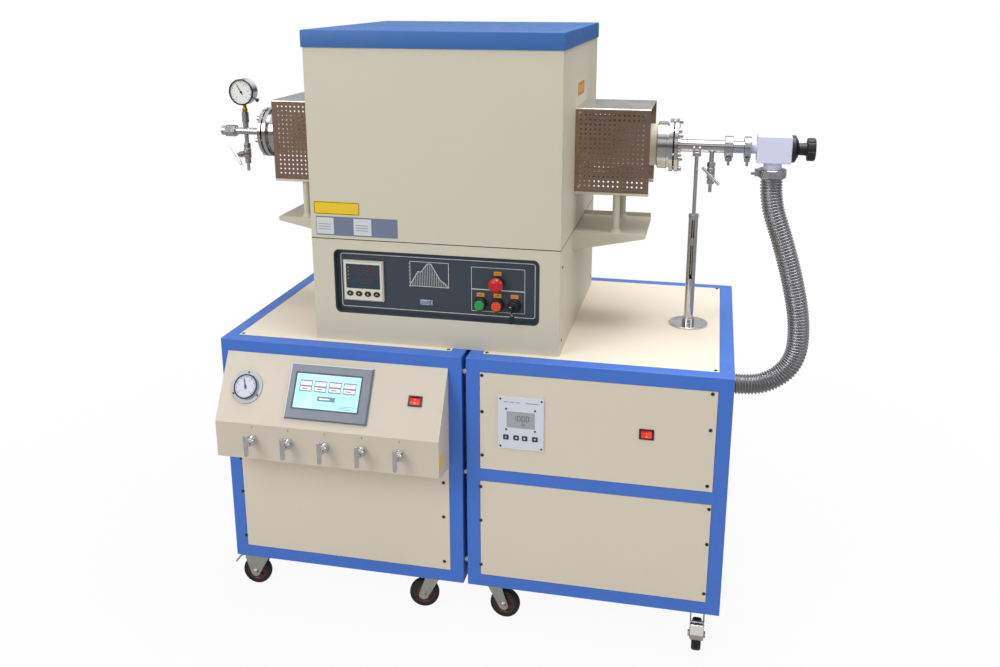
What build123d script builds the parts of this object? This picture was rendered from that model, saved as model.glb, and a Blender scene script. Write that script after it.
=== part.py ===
from build123d import *
import math
import os

# Tube furnace on two castered cabinets: a gas supply cabinet on the left, a vacuum cabinet on the right.
# The furnace stands across both. Its work tube runs along X and is closed by a flange at each end.
# Millimetres, +Z up, +Y to the back. While it is laid out, X = 0 is the seam between the cabinets,
# Y = 0 the front of the cabinets and Z = 0 the floor. The last section moves the origin to the
# middle of the whole outline, on the floor.

# ---------------------------------------------------------------- driving dimensions

# cabinets
CABINET_WIDTH = 600.0
CABINET_DEPTH = 700.0
CABINET_TOP = 700.0
CABINET_BOTTOM = 110.0
CABINET_GAP = 10.0
FRAME_BAR = 32.0
FRAME_EDGE_RADIUS = 2.5
PANEL_SHEET = 2.0
PANEL_GAP = 1.2
SEAT_WIDTH = 12.0
SEAT_SHEET = 2.0
MID_RAIL_TOP = 424.0
MID_RAIL_HEIGHT = 30.0
LOUVRE_COUNT = 8
LOUVRE_PITCH = 22.0
LOUVRE_WIDTH = 170.0
LOUVRE_HEIGHT = 7.0
LOUVRE_CENTRE_Z = 300.0
SPACER_RADIUS = 6.0
SPACER_HEIGHTS = (170.0, 405.0, 660.0)
SPACER_Y = 16.0

# casters
WHEEL_RADIUS = 37.5
WHEEL_WIDTH = 25.0
WHEEL_SIDE_CLEARANCE = 1.5
AXLE_RADIUS = 4.0
KINGPIN_RADIUS = 6.0
RUNNING_CLEARANCE = 0.05
CASTER_TRAIL = 28.0
CASTER_PLATE = 62.0
CASTER_PLATE_SHEET = 3.0
RACE_RADIUS = 24.0
RACE_HEIGHT = 9.0
RACE_GAP = 0.4
FORK_SHEET = 2.5
PEDAL_PIVOT_OUT = 20.0
PEDAL_PIVOT_Z = 80.0
PEDAL_PIN_RADIUS = 2.5
PEDAL_REACH = 30.0
PEDAL_WIDTH = 30.0
PEDAL_DROP = 12.0
CASTER_FRONT_INSET = 55.0
CASTER_REAR_INSET = 60.0
GAS_CASTER_INSETS = (55.0, 88.0)
VACUUM_CASTER_INSETS = (55.0, 49.0)
FRONT_HEADINGS = (180.0, 187.0, -6.0, -90.0)

# gas console on the front of the gas cabinet
CONSOLE_LEFT = -586.0
CONSOLE_RIGHT = -37.0
CONSOLE_TOP = 670.0
CONSOLE_DEPTH = 88.0
CONSOLE_BEND_Z = 525.0
CONSOLE_LOWER_Z = 435.0
CONSOLE_BACK_Z = 420.0
CONSOLE_SHEET = 2.0
SCREEN_X = -313.0
SCREEN_DOWN = 83.0
SCREEN_WIDTH = 203.0
SCREEN_HEIGHT = 131.0
SCREEN_STAND = 7.0
SCREEN_REAR_DEPTH = 13.0
SCREEN_REAR_MARGIN = 8.0
LCD_WIDTH = 160.0
LCD_HEIGHT = 82.0
CONSOLE_GAUGE_X = -521.0
CONSOLE_GAUGE_DOWN = 84.0
CONSOLE_GAUGE_FLANGE_RADIUS = 40.0
CONSOLE_GAUGE_CASE_RADIUS = 30.0
CONSOLE_GAUGE_DEPTH = 26.0
CONSOLE_SWITCH_X = -104.0
CONSOLE_SWITCH_DOWN = 82.0
GAS_VALVE_COUNT = 5
GAS_VALVE_PITCH = 90.8
GAS_VALVE_Z = 486.0
GAS_VALVE_REAR = 30.0
GAS_BAR_LENGTH = 53.0

# furnace
FURNACE_LEFT = -377.0
FURNACE_WIDTH = 590.0
FURNACE_FRONT = 50.0
FURNACE_DEPTH = 590.0
BASE_HEIGHT = 250.0
BODY_HEIGHT = 474.0
FURNACE_SHEET = 2.0
COVER_HEIGHT = 38.0
COVER_OVERHANG = 3.0
COVER_SHEET = 2.0

# control panel, set back in the furnace base
PANEL_LEFT = -325.0
PANEL_RIGHT = 166.0
PANEL_BOTTOM = 770.0
PANEL_TOP = 925.0
PANEL_CORNER = 14.0
PANEL_RECESS = 14.0
TRAY_SHEET = 1.5
TRAY_FLANGE = 9.0
TRAY_CLEARANCE = 0.2
CONTROLLER_X = -256.0
CONTROLLER_Z = 849.0
CONTROLLER_SIZE = 98.0
CONTROLLER_STAND = 9.0
CONTROLLER_REAR = 92.0
CONTROLLER_REAR_DEPTH = 70.0
BUTTON_X = (26.0, 66.0, 106.0)
BUTTON_Z = 811.0
STOP_Z = 863.0
BUTTON_HOLE_RADIUS = 11.0
BUTTON_RADIUS = 11.6
BUTTON_STEM_RADIUS = 5.0
BUTTON_TRAVEL = 4.0
STOP_RADIUS = 17.0
STOP_TRAVEL = 5.0
BEZEL_RADIUS = 15.0
BEZEL_HEIGHT = 15.0
STOP_BEZEL_HEIGHT = 10.0
PORT_X = -104.0
PORT_Z = 805.0
PORT_WIDTH = 31.0
PORT_HEIGHT = 12.5

# rocker switches
SWITCH_WIDTH = 33.0
SWITCH_HEIGHT = 25.0
SWITCH_FRAME_STAND = 2.0
SWITCH_DEPTH = 18.0
SWITCH_WALL = 2.5
ROCKER_SIDE_GAP = 0.3
ROCKER_END_GAP = 1.5
ROCKER_TILT = 8.0
ROCKER_PIN_RADIUS = 1.5
VACUUM_SWITCH_X = 421.0
VACUUM_SWITCH_Z = 551.0

# vacuum gauge unit on the vacuum cabinet
UNIT_X = 135.0
UNIT_Z = 549.5
UNIT_WIDTH = 107.0
UNIT_HEIGHT = 129.0
UNIT_STAND = 4.0
UNIT_REAR_MARGIN = 12.0
UNIT_REAR_DEPTH = 60.0
UNIT_LCD_WIDTH = 66.0
UNIT_LCD_HEIGHT = 40.0
UNIT_LCD_UP = 9.0

# work tube and heating chamber
AXIS_Y = 345.0
AXIS_Z = 1150.0
TUBE_RADIUS = 50.0
TUBE_BORE_RADIUS = 44.0
TUBE_HOLE_CLEARANCE = 6.0
INSULATION_MARGIN = 45.0
INSULATION_TOP_GAP = 60.0
CHAMBER_LENGTH = 300.0
CHAMBER_HALF_DEPTH = 92.0
CHAMBER_HALF_HEIGHT = 110.0
ELEMENT_COUNT = 3
ELEMENT_PITCH = 90.0
ELEMENT_OFFSET_Y = 72.0
ELEMENT_LEG_GAP = 50.0
ELEMENT_RADIUS = 3.0
ELEMENT_TERMINAL_RADIUS = 6.0
ELEMENT_HOLE_CLEARANCE = 1.0
ELEMENT_TERMINAL_STAND = 30.0

# guards and trays at both ends of the furnace
GUARD_LENGTH = 175.0
GUARD_HALF_DEPTH = 100.0
GUARD_TOP = 1245.0
GUARD_BOTTOM = 1047.0
GUARD_SHEET = 1.5
GUARD_BEND_RADIUS = 3.0
RAIL_HEIGHT = 6.0
RAIL_WIDTH = 16.0
TRAY_LENGTH = 172.0
TRAY_TOP = 948.0
TRAY_PLATE = 2.0
TRAY_ROOT_DROP = 46.0
TRAY_TIP_DROP = 10.0
TRAY_LIP = 10.0
POST_RADIUS = 8.5
POST_FOOT_RADIUS = 14.0
POST_FOOT_HEIGHT = 8.0
POST_OUT = 100.0

# flanges at the tube's ends
FLANGE_START = 188.0
BARREL_RADIUS = 56.0
BARREL_LENGTH = 28.0
FLANGE_RADIUS = 63.0
FLANGE_PLATE = 9.0
SEAL_GAP = 4.0
SEAL_RADIUS = 49.5
FLANGE_BOLT_RING = 56.5
FLANGE_BOLT_RADIUS = 3.0
FLANGE_BOLT_HEAD_RADIUS = 5.0
FLANGE_BOLT_HEAD = 6.0
FLANGE_BOLT_COUNT = 6

# gas inlet line at the left end
INLET_PIPE_RADIUS = 9.0
INLET_PIPE_LENGTH = 88.0
INLET_NUT_LENGTH = 39.0
INLET_NUT_FLATS = 28.0
INLET_PORT_RADIUS = 3.2
INLET_PORT_DEPTH = 24.0
INLET_TEE_OUT = 60.0
INLET_FITTING_TOP = 1199.0
GAUGE_Z = 1253.0
GAUGE_RADIUS = 34.0
GAUGE_DEPTH = 30.0
GAUGE_STEM_RADIUS = 5.0
GAUGE_BEZEL_WIDTH = 4.0
GAUGE_BEZEL_STAND = 3.0

# small tee-handle valves under both lines
VALVE_NECK_RADIUS = 5.5
VALVE_NECK_LENGTH = 26.0
VALVE_BODY_RADIUS = 9.5
VALVE_BODY_LENGTH = 52.0
VALVE_BARB_RADIUS = 4.0
VALVE_BARB_LENGTH = 20.0
VALVE_BARB_BORE = 2.2
BONNET_RADIUS = 8.0
BONNET_REACH = 26.0
VALVE_STEM_RADIUS = 3.0
VALVE_STEM_SEAT = 12.0
VALVE_STEM_REACH = 40.0
TEE_BAR_RADIUS = 3.5
TEE_BAR_LENGTH = 56.0
RIGHT_VALVE_X = 529.0
LEFT_VALVE_HEADING = 250.0

# vacuum line at the right end
PIPE_RADIUS = 15.0
KF_DISC_RADIUS = 20.0
KF_DISC = 6.0
CLAMP_RADIUS = 26.0
CLAMP_LIP_RADIUS = 16.5
FIRST_CLAMP_X = 568.0
FIRST_CLAMP_WIDTH = 20.0
SECOND_CLAMP_X = 611.0
SECOND_CLAMP_WIDTH = 16.0
ANGLE_BODY_LEFT = 632.0
ANGLE_BODY_LENGTH = 79.0
ANGLE_BODY_SIDE = 64.0
ANGLE_BODY_EDGE = 3.0
ANGLE_CAP_LENGTH = 15.0
KNOB_NECK_RADIUS = 14.0
KNOB_RADIUS = 27.0
KNOB_GAP = 1.0
KNOB_LENGTH = 38.0
OUTLET_X = 671.0
OUTLET_NECK_RADIUS = 21.0
HOSE_CLAMP_TOP = 1101.0
HOSE_CLAMP_HEIGHT = 20.0
HOSE_CLAMP_RADIUS = 33.0
HOSE_DISC_RADIUS = 27.0
HOSE_LIP_RADIUS = 22.5
HOSE_RADIUS = 26.0
HOSE_PORT_X = 617.0
HOSE_PORT_Z = 549.0

# pipe stand
STAND_X = 494.0
STAND_BASE_RADIUS = 48.0
STAND_BASE_HEIGHT = 5.0
STAND_TUBE_RADIUS = 11.5
STAND_TUBE_BORE = 9.5
STAND_TUBE_TOP = 982.0
STAND_BUSH_LENGTH = 12.0
STAND_SLOT_WIDTH = 7.0
STAND_SLOT_LENGTH = 150.0
ROD_RADIUS = 4.5
ROD_BOTTOM = 905.0
ROD_TRAVEL = 140.0
GUIDE_LENGTH = 18.0
ROD_END_CLEARANCE = 5.0
CRADLE_GAP = 0.5
CRADLE_WIRE_RADIUS = 2.5
CRADLE_SPACING = 14.0
CRADLE_BALL_RADIUS = 4.2
CRADLE_BLOCK_RADIUS = 8.0

# equipment inside the cabinets
PUMP_X = 330.0
PUMP_Y = 340.0
PUMP_AXIS_Z = 230.0
MOTOR_RADIUS = 70.0
MOTOR_LENGTH = 190.0
PUMP_BOX = 150.0
PUMP_HEIGHT = 190.0
PUMP_FOOT = 16.0
TANK_X = -310.0
TANK_Y = 400.0
TANK_AXIS_Z = 260.0
TANK_RADIUS = 75.0
TANK_LENGTH = 330.0
FLOW_METER_COUNT = 3
FLOW_METER_PITCH = 80.0

# free hose between the angle valve and the vacuum cabinet: points in the plane of the tube's axis
HOSE_POINTS = [
    (671.0, 1081.0),
    (671.0, 1023.0),
    (704.0, 936.0),
    (736.0, 835.0),
    (760.0, 734.0),
    (763.0, 652.0),
    (746.0, 604.0),
    (714.0, 571.0),
    (668.0, 549.0),
    (617.0, 549.0),
]

# ---------------------------------------------------------------- values worked out from them

GAS_LEFT = -CABINET_GAP / 2 - CABINET_WIDTH
VACUUM_LEFT = CABINET_GAP / 2
CASTER_FRONT_Y = CASTER_FRONT_INSET
CASTER_REAR_Y = CABINET_DEPTH - CASTER_REAR_INSET
CASTER_X = [
    GAS_LEFT + GAS_CASTER_INSETS[0],
    GAS_LEFT + CABINET_WIDTH - GAS_CASTER_INSETS[1],
    VACUUM_LEFT + VACUUM_CASTER_INSETS[0],
    VACUUM_LEFT + CABINET_WIDTH - VACUUM_CASTER_INSETS[1],
]
INNER_BOTTOM = CABINET_BOTTOM + FRAME_BAR
INNER_TOP = CABINET_TOP - FRAME_BAR
FURNACE_RIGHT = FURNACE_LEFT + FURNACE_WIDTH
FURNACE_BACK = FURNACE_FRONT + FURNACE_DEPTH
FURNACE_X = FURNACE_LEFT + FURNACE_WIDTH / 2
BASE_TOP = CABINET_TOP + BASE_HEIGHT
BODY_TOP = BASE_TOP + BODY_HEIGHT
COVER_TOP = BODY_TOP + COVER_SHEET
PLATE_FRONT = FURNACE_FRONT + PANEL_RECESS
FLANGE_FACE = FLANGE_START + BARREL_LENGTH + 2 * FLANGE_PLATE + SEAL_GAP
LEFT_LINE_X = FURNACE_LEFT - FLANGE_FACE
RIGHT_LINE_X = FURNACE_RIGHT + FLANGE_FACE
INLET_TEE_X = LEFT_LINE_X - INLET_TEE_OUT
ANGLE_BODY_RIGHT = ANGLE_BODY_LEFT + ANGLE_BODY_LENGTH
KNOB_START = ANGLE_BODY_RIGHT + ANGLE_CAP_LENGTH + KNOB_GAP
GAS_VALVE_X = [
    (CONSOLE_LEFT + CONSOLE_RIGHT) / 2 + GAS_VALVE_PITCH * (i - (GAS_VALVE_COUNT - 1) / 2)
    for i in range(GAS_VALVE_COUNT)
]

nodes = {}


# ---------------------------------------------------------------- building helpers

def slab(x, y, z):
    """Block between two x, two y and two z values."""
    size = (x[1] - x[0], y[1] - y[0], z[1] - z[0])
    return Pos((x[0] + x[1]) / 2, (y[0] + y[1]) / 2, (z[0] + z[1]) / 2) * Box(*size)


def along(origin, direction):
    """Placement whose local X runs along a direction."""
    up = (0, 0, 1) if abs(direction[2]) < 0.9 else (0, -1, 0)
    return Plane(origin=origin, x_dir=direction, z_dir=up).location


def lathe(outline, origin, direction, bore=0.0):
    """Turned piece: outline is (distance along the axis, radius) pairs, in order along the axis."""
    points = [(outline[0][0], bore)] + list(outline) + [(outline[-1][0], bore)]
    face = make_face(Polyline(*points, close=True))
    return along(origin, direction) * revolve(face, axis=Axis.X)


def rod(radius, origin, direction, length, bore=0.0):
    """Plain round bar or tube."""
    return lathe([(0, radius), (length, radius)], origin, direction, bore)


def hexagon(flats, origin, direction, length):
    """Hexagonal bar of a given width across flats."""
    profile = extrude(Plane.YZ * RegularPolygon(flats / 2, 6, major_radius=False), length)
    return along(origin, direction) * profile


def outward(side, near, far):
    """X range on the right (side 1) or left (side -1) of the furnace, from its side face."""
    face = FURNACE_RIGHT if side > 0 else FURNACE_LEFT
    return tuple(sorted((face + side * near, face + side * far)))


def turned(heading):
    """Unit vector in the floor plane at a heading in degrees from +X."""
    return Vector(1, 0, 0).rotate(Axis.Z, heading)


def add(name, *pieces):
    """Keep the solids of one node."""
    solids = [solid for piece in pieces for solid in piece.solids()]
    nodes[name] = Compound(solids) if len(solids) > 1 else solids[0]


# ---------------------------------------------------------------- cabinets

def cabinet_openings(left, mid_rails):
    """The flush panels of one cabinet: name, box of the opening's panel, box of the seat behind it."""
    right = left + CABINET_WIDTH
    x = (left + FRAME_BAR, right - FRAME_BAR)
    y = (FRAME_BAR, CABINET_DEPTH - FRAME_BAR)
    z = (INNER_BOTTOM, INNER_TOP)
    sheet, seat = PANEL_SHEET, PANEL_SHEET + SEAT_SHEET
    fronts = [("front", z)]
    if mid_rails:
        fronts = [("upper_front", (MID_RAIL_TOP, z[1])),
                  ("lower_front", (z[0], MID_RAIL_TOP - MID_RAIL_HEIGHT))]
    openings = [(name, (x, (0, sheet), span), (x, (sheet, seat), span)) for name, span in fronts]
    openings += [
        ("back", (x, (CABINET_DEPTH - sheet, CABINET_DEPTH), z),
         (x, (CABINET_DEPTH - seat, CABINET_DEPTH - sheet), z)),
        ("left", ((left, left + sheet), y, z), ((left + sheet, left + seat), y, z)),
        ("right", ((right - sheet, right), y, z), ((right - seat, right - sheet), y, z)),
        ("top", (x, y, (CABINET_TOP - sheet, CABINET_TOP)),
         (x, y, (CABINET_TOP - seat, CABINET_TOP - sheet))),
        ("floor", (x, y, (CABINET_BOTTOM, CABINET_BOTTOM + sheet)),
         (x, y, (CABINET_BOTTOM + sheet, CABINET_BOTTOM + seat))),
    ]
    return openings


def frame_bars(left, mid_rail):
    """Ranges of the square tubes of one cabinet: posts, rails between them and the middle rail."""
    right = left + CABINET_WIDTH
    side_x = ((left, left + FRAME_BAR), (right - FRAME_BAR, right))
    side_y = ((0, FRAME_BAR), (CABINET_DEPTH - FRAME_BAR, CABINET_DEPTH))
    side_z = ((CABINET_BOTTOM, INNER_BOTTOM), (INNER_TOP, CABINET_TOP))
    inner_x = (left + FRAME_BAR, right - FRAME_BAR)
    inner_y = (FRAME_BAR, CABINET_DEPTH - FRAME_BAR)
    bars = [(x, y, (CABINET_BOTTOM, CABINET_TOP)) for x in side_x for y in side_y]
    bars += [(inner_x, y, z) for y in side_y for z in side_z]
    bars += [(x, inner_y, z) for x in side_x for z in side_z]
    if mid_rail:
        bars.append((inner_x, side_y[0], (MID_RAIL_TOP - MID_RAIL_HEIGHT, MID_RAIL_TOP)))
    return bars


def seat_strips(box):
    """Four strips round a panel's seat, each with a point just inside the bar that carries it."""
    thin = min(range(3), key=lambda i: box[i][1] - box[i][0])
    across, lengthways = [i for i in range(3) if i != thin]
    strips = []
    for i, other, inset in ((across, lengthways, 0), (lengthways, across, SEAT_WIDTH)):
        for low in (True, False):
            strip = list(box)
            strip[i] = (box[i][0], box[i][0] + SEAT_WIDTH) if low else (box[i][1] - SEAT_WIDTH, box[i][1])
            strip[other] = (box[other][0] + inset, box[other][1] - inset)
            inside = [sum(span) / 2 for span in box]
            inside[i] = box[i][0] - 0.5 if low else box[i][1] + 0.5
            strips.append((strip, inside))
    return strips


def cabinet_frame(left, mid_rail):
    """Welded square-tube frame, bar by bar, with the narrow seats that carry its panels."""
    outside = slab((left, left + CABINET_WIDTH), (0, CABINET_DEPTH), (CABINET_BOTTOM, CABINET_TOP))
    outside = fillet(outside.edges(), FRAME_EDGE_RADIUS)
    strips = [strip for _, _, seat in cabinet_openings(left, mid_rail) for strip in seat_strips(seat)]
    bars = []
    for ranges in frame_bars(left, mid_rail):
        bar = slab(*ranges) & outside
        for strip, inside in strips:
            if all(low <= at <= high for at, (low, high) in zip(inside, ranges)):
                bar += slab(*strip)
        bars.append(bar)
    return bars


def panel(box):
    """Sheet that fills an opening of the frame but for a narrow gap all round."""
    thin = min(range(3), key=lambda i: box[i][1] - box[i][0])
    return slab(*[s if i == thin else (s[0] + PANEL_GAP, s[1] - PANEL_GAP) for i, s in enumerate(box)])


def louvres(centre_x):
    """Row of vent slots through a back panel."""
    slots = []
    for i in range(LOUVRE_COUNT):
        z = LOUVRE_CENTRE_Z + LOUVRE_PITCH * (i - (LOUVRE_COUNT - 1) / 2)
        x = (centre_x - LOUVRE_WIDTH / 2, centre_x + LOUVRE_WIDTH / 2)
        slots.append(slab(x, (CABINET_DEPTH - 2 * PANEL_SHEET, CABINET_DEPTH + 1), (z, z + LOUVRE_HEIGHT)))
    return slots


def build_cabinets():
    """Frames, panels and the spacers that hold the two cabinets apart."""
    add("gas_cabinet_frame", *cabinet_frame(GAS_LEFT, False))
    add("vacuum_cabinet_frame", *cabinet_frame(VACUUM_LEFT, True))
    gas = {name: panel(box) for name, box, _ in cabinet_openings(GAS_LEFT, False)}
    vacuum = {name: panel(box) for name, box, _ in cabinet_openings(VACUUM_LEFT, True)}
    for sheets, left in ((gas, GAS_LEFT), (vacuum, VACUUM_LEFT)):
        for slot in louvres(left + CABINET_WIDTH / 2):
            sheets["back"] -= slot
    rear_x = UNIT_WIDTH / 2 - UNIT_REAR_MARGIN
    rear_z = UNIT_HEIGHT / 2 - UNIT_REAR_MARGIN
    vacuum["upper_front"] -= slab(
        (UNIT_X - rear_x, UNIT_X + rear_x), (-1, PANEL_SHEET + 1), (UNIT_Z - rear_z, UNIT_Z + rear_z))
    vacuum["upper_front"] -= Pos(VACUUM_SWITCH_X, 0, VACUUM_SWITCH_Z) * switch_hole(Plane.XZ)
    vacuum["right"] -= rod(PIPE_RADIUS, (VACUUM_LEFT + CABINET_WIDTH - 2 * PANEL_SHEET, AXIS_Y, HOSE_PORT_Z),
                           (1, 0, 0), 3 * PANEL_SHEET)
    spacers = [rod(SPACER_RADIUS, (-CABINET_GAP / 2, SPACER_Y, z), (1, 0, 0), CABINET_GAP)
               for z in SPACER_HEIGHTS]
    add("gas_cabinet_panels", *gas.values())
    add("vacuum_cabinet_panels", *vacuum.values(), *spacers)


# ---------------------------------------------------------------- casters

def fork_sides(pedal):
    """The two cheeks of a fork with its crown, swivel axis on Z and the wheel trailing along +X."""
    crown_top = CABINET_BOTTOM - CASTER_PLATE_SHEET - RACE_GAP - RACE_HEIGHT
    inside = WHEEL_WIDTH / 2 + WHEEL_SIDE_CLEARANCE
    wheel_top = 2 * WHEEL_RADIUS
    head = Line((-RACE_RADIUS * 0.8, crown_top), (RACE_RADIUS * 0.8, crown_top))
    axle_eye = Pos(CASTER_TRAIL, WHEEL_RADIUS) * Circle(3 * AXLE_RADIUS)
    edges = [head] + list(axle_eye.edges())
    if pedal:
        pedal_eye = Pos(CASTER_TRAIL + PEDAL_PIVOT_OUT, PEDAL_PIVOT_Z) * Circle(2.2 * PEDAL_PIN_RADIUS)
        edges += list(pedal_eye.edges())
    cheek = extrude(Plane.XZ * make_hull(edges), FORK_SHEET)
    fork = Pos(0, inside + FORK_SHEET, 0) * cheek + Pos(0, -inside, 0) * cheek
    crown = slab((-RACE_RADIUS * 0.8, RACE_RADIUS * 0.8), (-inside - FORK_SHEET, inside + FORK_SHEET),
                 (max(wheel_top + 4, crown_top - 6), crown_top))
    axle = rod(AXLE_RADIUS, (CASTER_TRAIL, -inside - FORK_SHEET - 3, WHEEL_RADIUS), (0, 1, 0),
               2 * (inside + FORK_SHEET + 3))
    heads = [hexagon(13, (CASTER_TRAIL, y, WHEEL_RADIUS), (0, 1, 0), 4)
             for y in (-inside - FORK_SHEET - 4, inside + FORK_SHEET)]
    return fork + crown + axle + heads[0] + heads[1]


def swivel_fork(pedal):
    """Fork with its ball race and kingpin, and the pin that the brake pedal turns on."""
    top = CABINET_BOTTOM - CASTER_PLATE_SHEET - RACE_GAP
    race = lathe([(0, RACE_RADIUS * 0.85), (RACE_HEIGHT * 0.5, RACE_RADIUS), (RACE_HEIGHT, RACE_RADIUS)],
                 (0, 0, top - RACE_HEIGHT), (0, 0, 1))
    kingpin = rod(KINGPIN_RADIUS, (0, 0, top - RACE_HEIGHT), (0, 0, 1), RACE_HEIGHT + CASTER_PLATE_SHEET)
    fork = fork_sides(pedal) + race + kingpin
    if pedal:
        half = WHEEL_WIDTH / 2 + WHEEL_SIDE_CLEARANCE + FORK_SHEET
        fork += rod(PEDAL_PIN_RADIUS, (CASTER_TRAIL + PEDAL_PIVOT_OUT, -half, PEDAL_PIVOT_Z), (0, 1, 0),
                    2 * half)
    return fork


def caster_plate(bored):
    """Top plate bolted under the frame, with the kingpin's bore on a swivel caster."""
    half = CASTER_PLATE / 2
    plate = slab((-half, half), (-half, half), (CABINET_BOTTOM - CASTER_PLATE_SHEET, CABINET_BOTTOM))
    if bored:
        plate -= rod(KINGPIN_RADIUS + RUNNING_CLEARANCE, (0, 0, CABINET_BOTTOM - 2 * CASTER_PLATE_SHEET),
                     (0, 0, 1), 3 * CASTER_PLATE_SHEET)
    return plate


def fixed_caster_bracket():
    """Rear caster that doesn't swivel: its fork is welded to the top plate through a short neck."""
    top = CABINET_BOTTOM - CASTER_PLATE_SHEET
    neck = rod(RACE_RADIUS * 0.8, (0, 0, top - RACE_GAP - RACE_HEIGHT), (0, 0, 1), RACE_GAP + RACE_HEIGHT)
    return caster_plate(False) + neck + fork_sides(False)


def wheel():
    """Tyred wheel on the fork's axle: rounded tread, dished sides and a hub."""
    half = WHEEL_WIDTH / 2
    bore = AXLE_RADIUS + RUNNING_CLEARANCE
    rim = WHEEL_RADIUS * 0.72
    outline = [(-half, bore + 5), (-half + 5, bore + 7), (-half + 5, rim - 2), (-half + 1.5, rim),
               (-half + 1.5, WHEEL_RADIUS - 5), (-half + 5, WHEEL_RADIUS - 1), (-half + 9, WHEEL_RADIUS)]
    outline += [(-d, r) for d, r in reversed(outline)]
    return lathe(outline, (CASTER_TRAIL, 0, WHEEL_RADIUS), (0, 1, 0), bore)


def brake_pedal():
    """Pressed pedal that hangs on its pin between the fork's cheeks and reaches out over the wheel."""
    pivot = (CASTER_TRAIL + PEDAL_PIVOT_OUT, PEDAL_PIVOT_Z)
    half = WHEEL_WIDTH / 2 + WHEEL_SIDE_CLEARANCE - 0.6
    eye = rod(2.4 * PEDAL_PIN_RADIUS, (pivot[0], -half, pivot[1]), (0, 1, 0), 2 * half)
    tip = (pivot[0] + PEDAL_REACH, pivot[1] - PEDAL_DROP)
    line = FilletPolyline((pivot[0], pivot[1] + 3), (pivot[0] + 13, pivot[1] + 3), tip,
                          (tip[0] + 4, tip[1] - 9), radius=3)
    tread = extrude(Plane.XZ * trace(line, 2.4), PEDAL_WIDTH / 2, both=True)
    hole = rod(PEDAL_PIN_RADIUS + RUNNING_CLEARANCE, (pivot[0], -PEDAL_WIDTH, pivot[1]), (0, 1, 0),
               2 * PEDAL_WIDTH)
    neck = slab((pivot[0] + 7, pivot[0] + 60), (-PEDAL_WIDTH, PEDAL_WIDTH), (0, CABINET_BOTTOM))
    neck += slab((pivot[0] - 20, pivot[0] + 7.1), (-half, half), (0, CABINET_BOTTOM))
    return (eye + tread & neck) - hole


CASTER_NAMES = ("gas_left", "gas_right", "vacuum_left", "vacuum_right")
BRAKED = ("gas_left", "vacuum_right")


def build_casters():
    """Four swivel casters in front, two of them braked, and four fixed ones at the back."""
    brackets = []
    for name, x, heading in zip(CASTER_NAMES, CASTER_X, FRONT_HEADINGS):
        place = Pos(x, CASTER_FRONT_Y, 0) * Rot(0, 0, heading)
        brackets.append(Pos(x, CASTER_FRONT_Y, 0) * caster_plate(True))
        add(name + "_caster_fork", place * swivel_fork(name in BRAKED))
        add(name + "_front_wheel", place * wheel())
        if name in BRAKED:
            add(name + "_brake_pedal", place * brake_pedal())
        rear = Pos(x, CASTER_REAR_Y, 0) * Rot(0, 0, -90)
        brackets.append(rear * fixed_caster_bracket())
        add(name + "_rear_wheel", rear * wheel())
    add("caster_brackets", *brackets)


# ---------------------------------------------------------------- rocker switches

def switch_hole(plane):
    """Cut-out that a rocker switch drops into, centred on its face."""
    return extrude(plane * Rectangle(SWITCH_WIDTH - 4, SWITCH_HEIGHT - 4), 20, both=True)


def switch_housing():
    """Frame and box of a switch. The face is on z = 0, the box reaches down, the pivot runs along X."""
    inside_x = SWITCH_WIDTH / 2 - SWITCH_WALL - 2
    inside_y = SWITCH_HEIGHT / 2 - SWITCH_WALL - 2 + ROCKER_END_GAP
    half_x, half_y = SWITCH_WIDTH / 2, SWITCH_HEIGHT / 2
    body = slab((-half_x, half_x), (-half_y, half_y), (0, SWITCH_FRAME_STAND))
    body += slab((-half_x + 2, half_x - 2), (-half_y + 2, half_y - 2), (-SWITCH_DEPTH, 0))
    body -= slab((-inside_x, inside_x), (-inside_y, inside_y), (-SWITCH_DEPTH + 3, SWITCH_FRAME_STAND + 1))
    reach = inside_x + 1.2
    body -= rod(ROCKER_PIN_RADIUS + RUNNING_CLEARANCE, (-reach, 0, -2), (1, 0, 0), 2 * reach)
    return body


def rocker():
    """Rocker of a switch, tipped to one side, with its two pivot pins."""
    half_x = SWITCH_WIDTH / 2 - SWITCH_WALL - 2 - ROCKER_SIDE_GAP
    half_y = SWITCH_HEIGHT / 2 - SWITCH_WALL - 2 - 0.4
    profile = Polyline((-half_y, -4), (-half_y, 4.2), (0, 2.2), (half_y, 4.2), (half_y, -4), close=True)
    piece = extrude(Plane.YZ * make_face(profile), half_x, both=True)
    reach = half_x + ROCKER_SIDE_GAP + 1.0
    piece += rod(ROCKER_PIN_RADIUS, (-reach, 0, -2), (1, 0, 0), 2 * reach)
    return Pos(0, 0, -2) * Rot(ROCKER_TILT, 0, 0) * Pos(0, 0, 2) * piece


# ---------------------------------------------------------------- gas console

SLOPE = Plane(
    origin=(0, 0, CONSOLE_TOP),
    x_dir=(1, 0, 0),
    z_dir=(0, -(CONSOLE_TOP - CONSOLE_BEND_Z), CONSOLE_DEPTH),
)
CABINET_FACE = Plane(origin=(0, 0, 0), x_dir=(1, 0, 0), z_dir=(0, -1, 0))


def on_slope(x, down):
    """Placement on the sloped face: X to the right, Y up the slope, Z out of it."""
    return SLOPE.location * Pos(x, -down, 0)


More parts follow.
